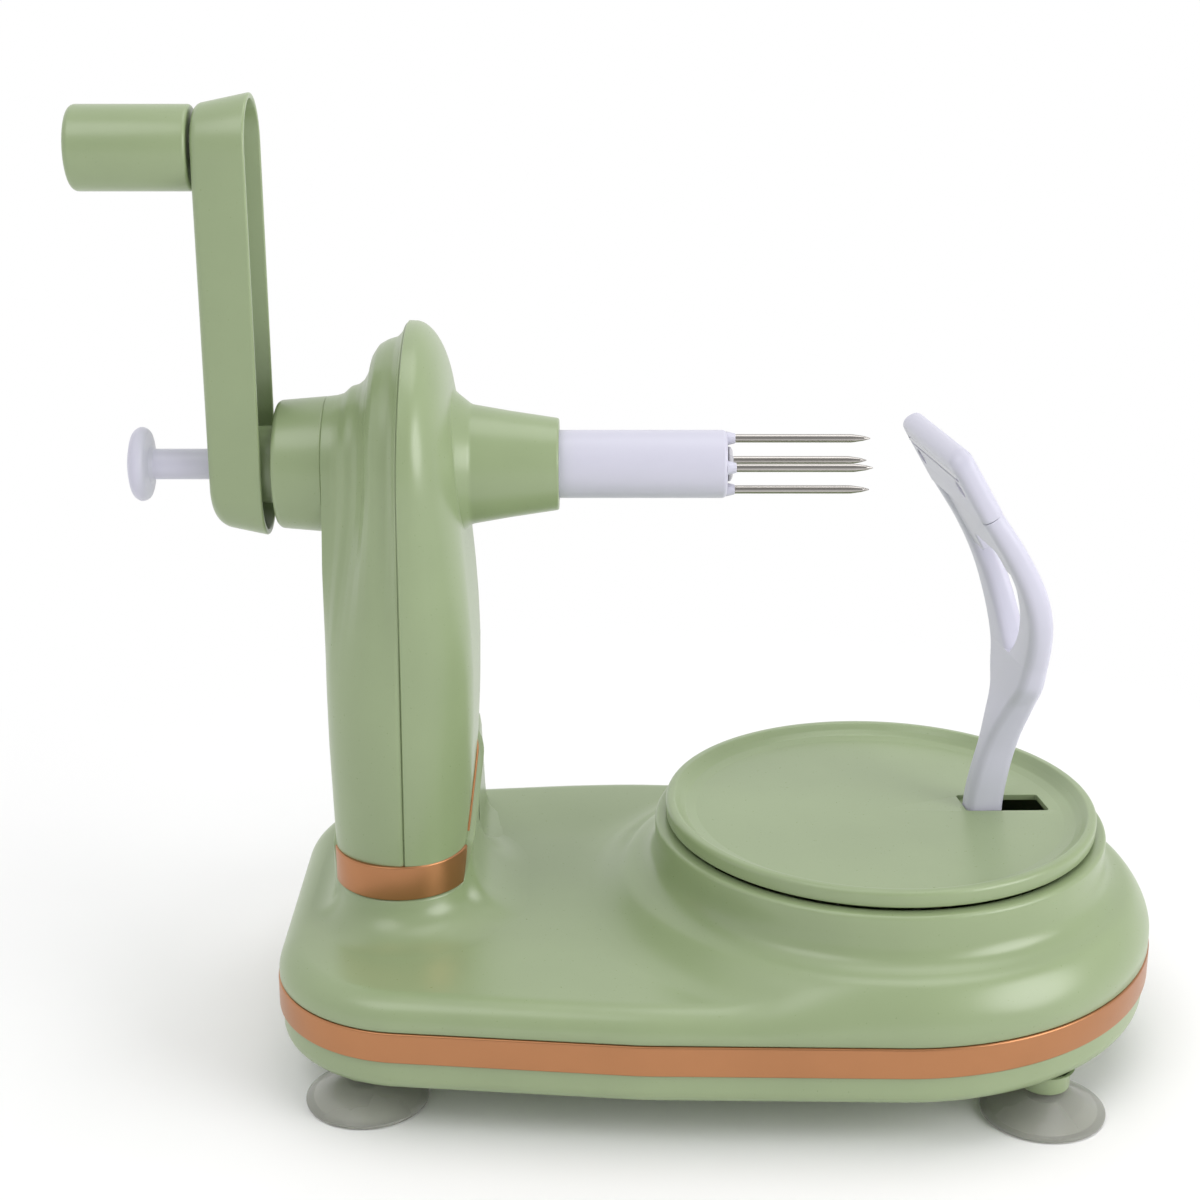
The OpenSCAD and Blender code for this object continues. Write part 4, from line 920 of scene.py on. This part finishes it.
def blade_carrier():
    """Head with rounded corners and top edge, a slit for the blade and holes for its pins."""
    top_start, round_start = HEAD_TOP - HEAD_CORNER, HEAD_TOP - HEAD_ROUND
    heights = [0.1, 0.3, *np.linspace(2, top_start, 7), *np.linspace(14.6, 17.8, 9),
               *(HEAD_TOP - 1.2 * np.linspace(1, 0, 9) ** 2)]
    rows = []
    for z in heights:
        half = HEAD_HALF + math.sqrt(max(HEAD_CORNER ** 2 - max(z - top_start, 0) ** 2, 0))
        bulge = math.sqrt(max(1 - (max(z - round_start, 0) / HEAD_ROUND) ** 2, 0))
        deep = HEAD_DEEP * bulge + (0.03 if z > 0.2 else -0.17)
        plan = rounded_box_plan(-deep, deep, -half, half, 0.8 * deep, 5)
        rows.append([head_place(x, y, z) for x, y in plan])
    b = Build()
    b.loft(rows)
    carrier = b.object("blade_cartridge", WHITE, 44)
    cutters = [prism("slit", rounded_box_plan(-20.0, 20.0, 11.8, 14.2, 1.0, 4), -4, 4, through_head)]
    for side in (-1, 1):
        for lo, hi in ((-4, -1.2), (1.2, 4)):
            cutters.append(prism("pin_hole", circle_plan(2.2, 24), lo, hi, pin_axis(side)))
    cut(carrier, cutters, 0.25)
    belongs(carrier, "arm", "white", "blade_carrier")


def carrier_neck():
    """Plate under the head between the legs, notched below, with a clip at each side."""
    half = [(18, 0.4), (18, -16.5), (16.5, -19), (9.6, -19), (9, -18.4), (9, -14.6), (7.8, -13.3)]
    b = Build()
    pad(b, [(-x, z) for x, z in half] + half[::-1], -1.5, 1.5, 0.5, 0.5, through_head)
    for y in (-14.2, 14.2):
        pad(b, rounded_box_plan(y - 2.4, y + 2.4, -12.5, -7.5, 1.0, 4), 1.2, 2.3, 0.2, 0.5, through_head, 3)
    belongs(b.object("blade_cartridge_neck", WHITE, 44), "arm", "white")


def blade():
    section = rounded([(-3.0, 13.1), (-1.6, 13.95, 0.1), (1.4, 14.1, 0.1), (1.4, 13.5, 0.1),
                       (-1.4, 13.3, 0.2), (-3.0, 13.1)], 3)
    b = Build()
    b.loft([[head_place(x, y, z) for x, z in section[:-1]] for y in (-19.9, 19.9)])
    belongs(b.object("peeling_edge", BLADE, 30), "arm", "steel", "peeling_blade")


def blade_pins():
    pin = rounded([(0, -2.0), (0.9, -2.0, 0.3), (1.1, -1.6), (1.1, 1.6), (0.9, 2.0, 0.3), (0, 2.0)], 3)
    b = Build()
    for side in (-1, 1):
        b.lathe(pin, pin_axis(side), 32)
    belongs(b.object("blade_pivots", STEEL, 50), "arm", "steel", "blade_pins")


peeler_arm()
blade_carrier()
carrier_neck()
blade()
blade_pins()


# CAD pieces that stay


def dress(mat, *names):
    for name in names:
        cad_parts[name].data.materials.clear()
        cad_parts[name].data.materials.append(mat)


dress(STEEL, "base_screws", "turntable_post", "idler_pins", "column_screws", "drive_shaft", "grip_pin",
      "upright_shaft", "hinge_pin", "arm_spring")
dress(NYLON, "crank_bush", "fork_bush", "worm", "worm_wheel", "base_pinion", "first_idler", "second_idler",
      "turntable_gear")


# Stage, in metres but for the floor's mesh

FLOOR_HALF, FLOOR_Z = 9000, -0.2
LAMP_AIM = (0, 0, 0.1)
scene = bpy.context.scene


def maths(tree, operation):
    node = add_node(tree, "Math")
    node.operation = operation
    return node


def floor_material():
    """Pale matt floor that keeps the shadow near the object and fades to plain white where it is seen."""
    mat = bpy.data.materials.new("pale_floor")
    mat.use_nodes = True
    tree = mat.node_tree
    shader = tree.nodes["Principled BSDF"]
    shader.inputs["Roughness"].default_value = 0.9
    shader.inputs["Specular IOR Level"].default_value = 0.1
    coord = add_node(tree, "TexCoord")
    grain = add_node(tree, "TexNoise", Scale=30)
    ramp = add_node(tree, "ValToRGB")
    for stop, grey in zip(ramp.color_ramp.elements, (0.93, 0.95)):
        stop.color = (grey, grey, grey, 1)
    reach = add_node(tree, "Mapping", Scale=(3.2, 3.2, 3.2))
    far = add_node(tree, "TexGradient")
    far.gradient_type = "SPHERICAL"
    fade = add_node(tree, "ValToRGB")
    fade.color_ramp.elements[1].position = 0.55
    glow = add_node(tree, "Emission", Strength=1.0)
    path = add_node(tree, "LightPath")
    seen, unseen, near = maths(tree, "MAXIMUM"), maths(tree, "SUBTRACT"), maths(tree, "MAXIMUM")
    unseen.inputs[0].default_value = 1.0
    mix = add_node(tree, "MixShader")
    link = tree.links.new
    link(coord.outputs["Object"], grain.inputs["Vector"])
    link(grain.outputs["Fac"], ramp.inputs["Fac"])
    link(ramp.outputs["Color"], shader.inputs["Base Color"])
    link(coord.outputs["Object"], reach.inputs["Vector"])
    link(reach.outputs["Vector"], far.inputs["Vector"])
    link(far.outputs["Fac"], fade.inputs["Fac"])
    link(path.outputs["Is Camera Ray"], seen.inputs[0])
    link(path.outputs["Is Glossy Ray"], seen.inputs[1])
    link(seen.outputs["Value"], unseen.inputs[1])
    link(fade.outputs["Color"], near.inputs[0])
    link(unseen.outputs["Value"], near.inputs[1])
    link(near.outputs["Value"], mix.inputs["Fac"])
    link(glow.outputs["Emission"], mix.inputs[1])
    link(shader.outputs["BSDF"], mix.inputs[2])
    link(mix.outputs["Shader"], tree.nodes["Material Output"].inputs["Surface"])
    return mat


def studio_world():
    """Grey surround, darker on one side."""
    world = bpy.data.worlds.new("studio")
    scene.world = world
    world.use_nodes = True
    tree = world.node_tree
    back = tree.nodes["Background"]
    coord = add_node(tree, "TexCoord")
    turn = add_node(tree, "Mapping", Rotation=(0, 0, math.radians(-30)))
    split = add_node(tree, "SeparateXYZ")
    side = add_node(tree, "MapRange", From_Min=-0.7, From_Max=0.7, To_Min=0.44, To_Max=1.0)
    link = tree.links.new
    link(coord.outputs["Generated"], turn.inputs["Vector"])
    link(turn.outputs["Vector"], split.inputs["Vector"])
    link(split.outputs["Y"], side.inputs["Value"])
    link(side.outputs["Result"], back.inputs["Color"])
    back.inputs["Strength"].default_value = 1.0


def lamp(name, at, size, power):
    data = bpy.data.lights.new(name, "AREA")
    data.shape = "DISK"
    data.size = size
    data.energy = power
    obj = bpy.data.objects.new(name, data)
    scene.collection.objects.link(obj)
    obj.location = at
    obj.rotation_euler = (Vector(LAMP_AIM) - Vector(at)).to_track_quat("-Z", "Y").to_euler()


def camera():
    """The photograph's viewing angle."""
    data = bpy.data.cameras.new("camera")
    data.lens = 62.5
    data.sensor_width = 36
    data.clip_end = 50
    obj = bpy.data.objects.new("camera", data)
    scene.collection.objects.link(obj)
    obj.location = (-0.00925, -0.490, 0.2747)
    obj.rotation_euler = (math.radians(71.8), 0, 0)
    scene.camera = obj


corners = ((-1, -1), (1, -1), (1, 1), (-1, 1))
floor = mesh_object("floor", [(x * FLOOR_HALF, y * FLOOR_HALF, FLOOR_Z) for x, y in corners],
                    [(0, 1, 2, 3)], floor_material())
studio_world()
lamp("key", (-0.5, -0.6, 1.2), 0.8, 3.2)
lamp("top", (0.3, 0.1, 1.3), 0.9, 3.3)
lamp("fill", (1.1, -0.6, 0.55), 0.9, 9.0)
camera()
scene.view_settings.view_transform = "Standard"
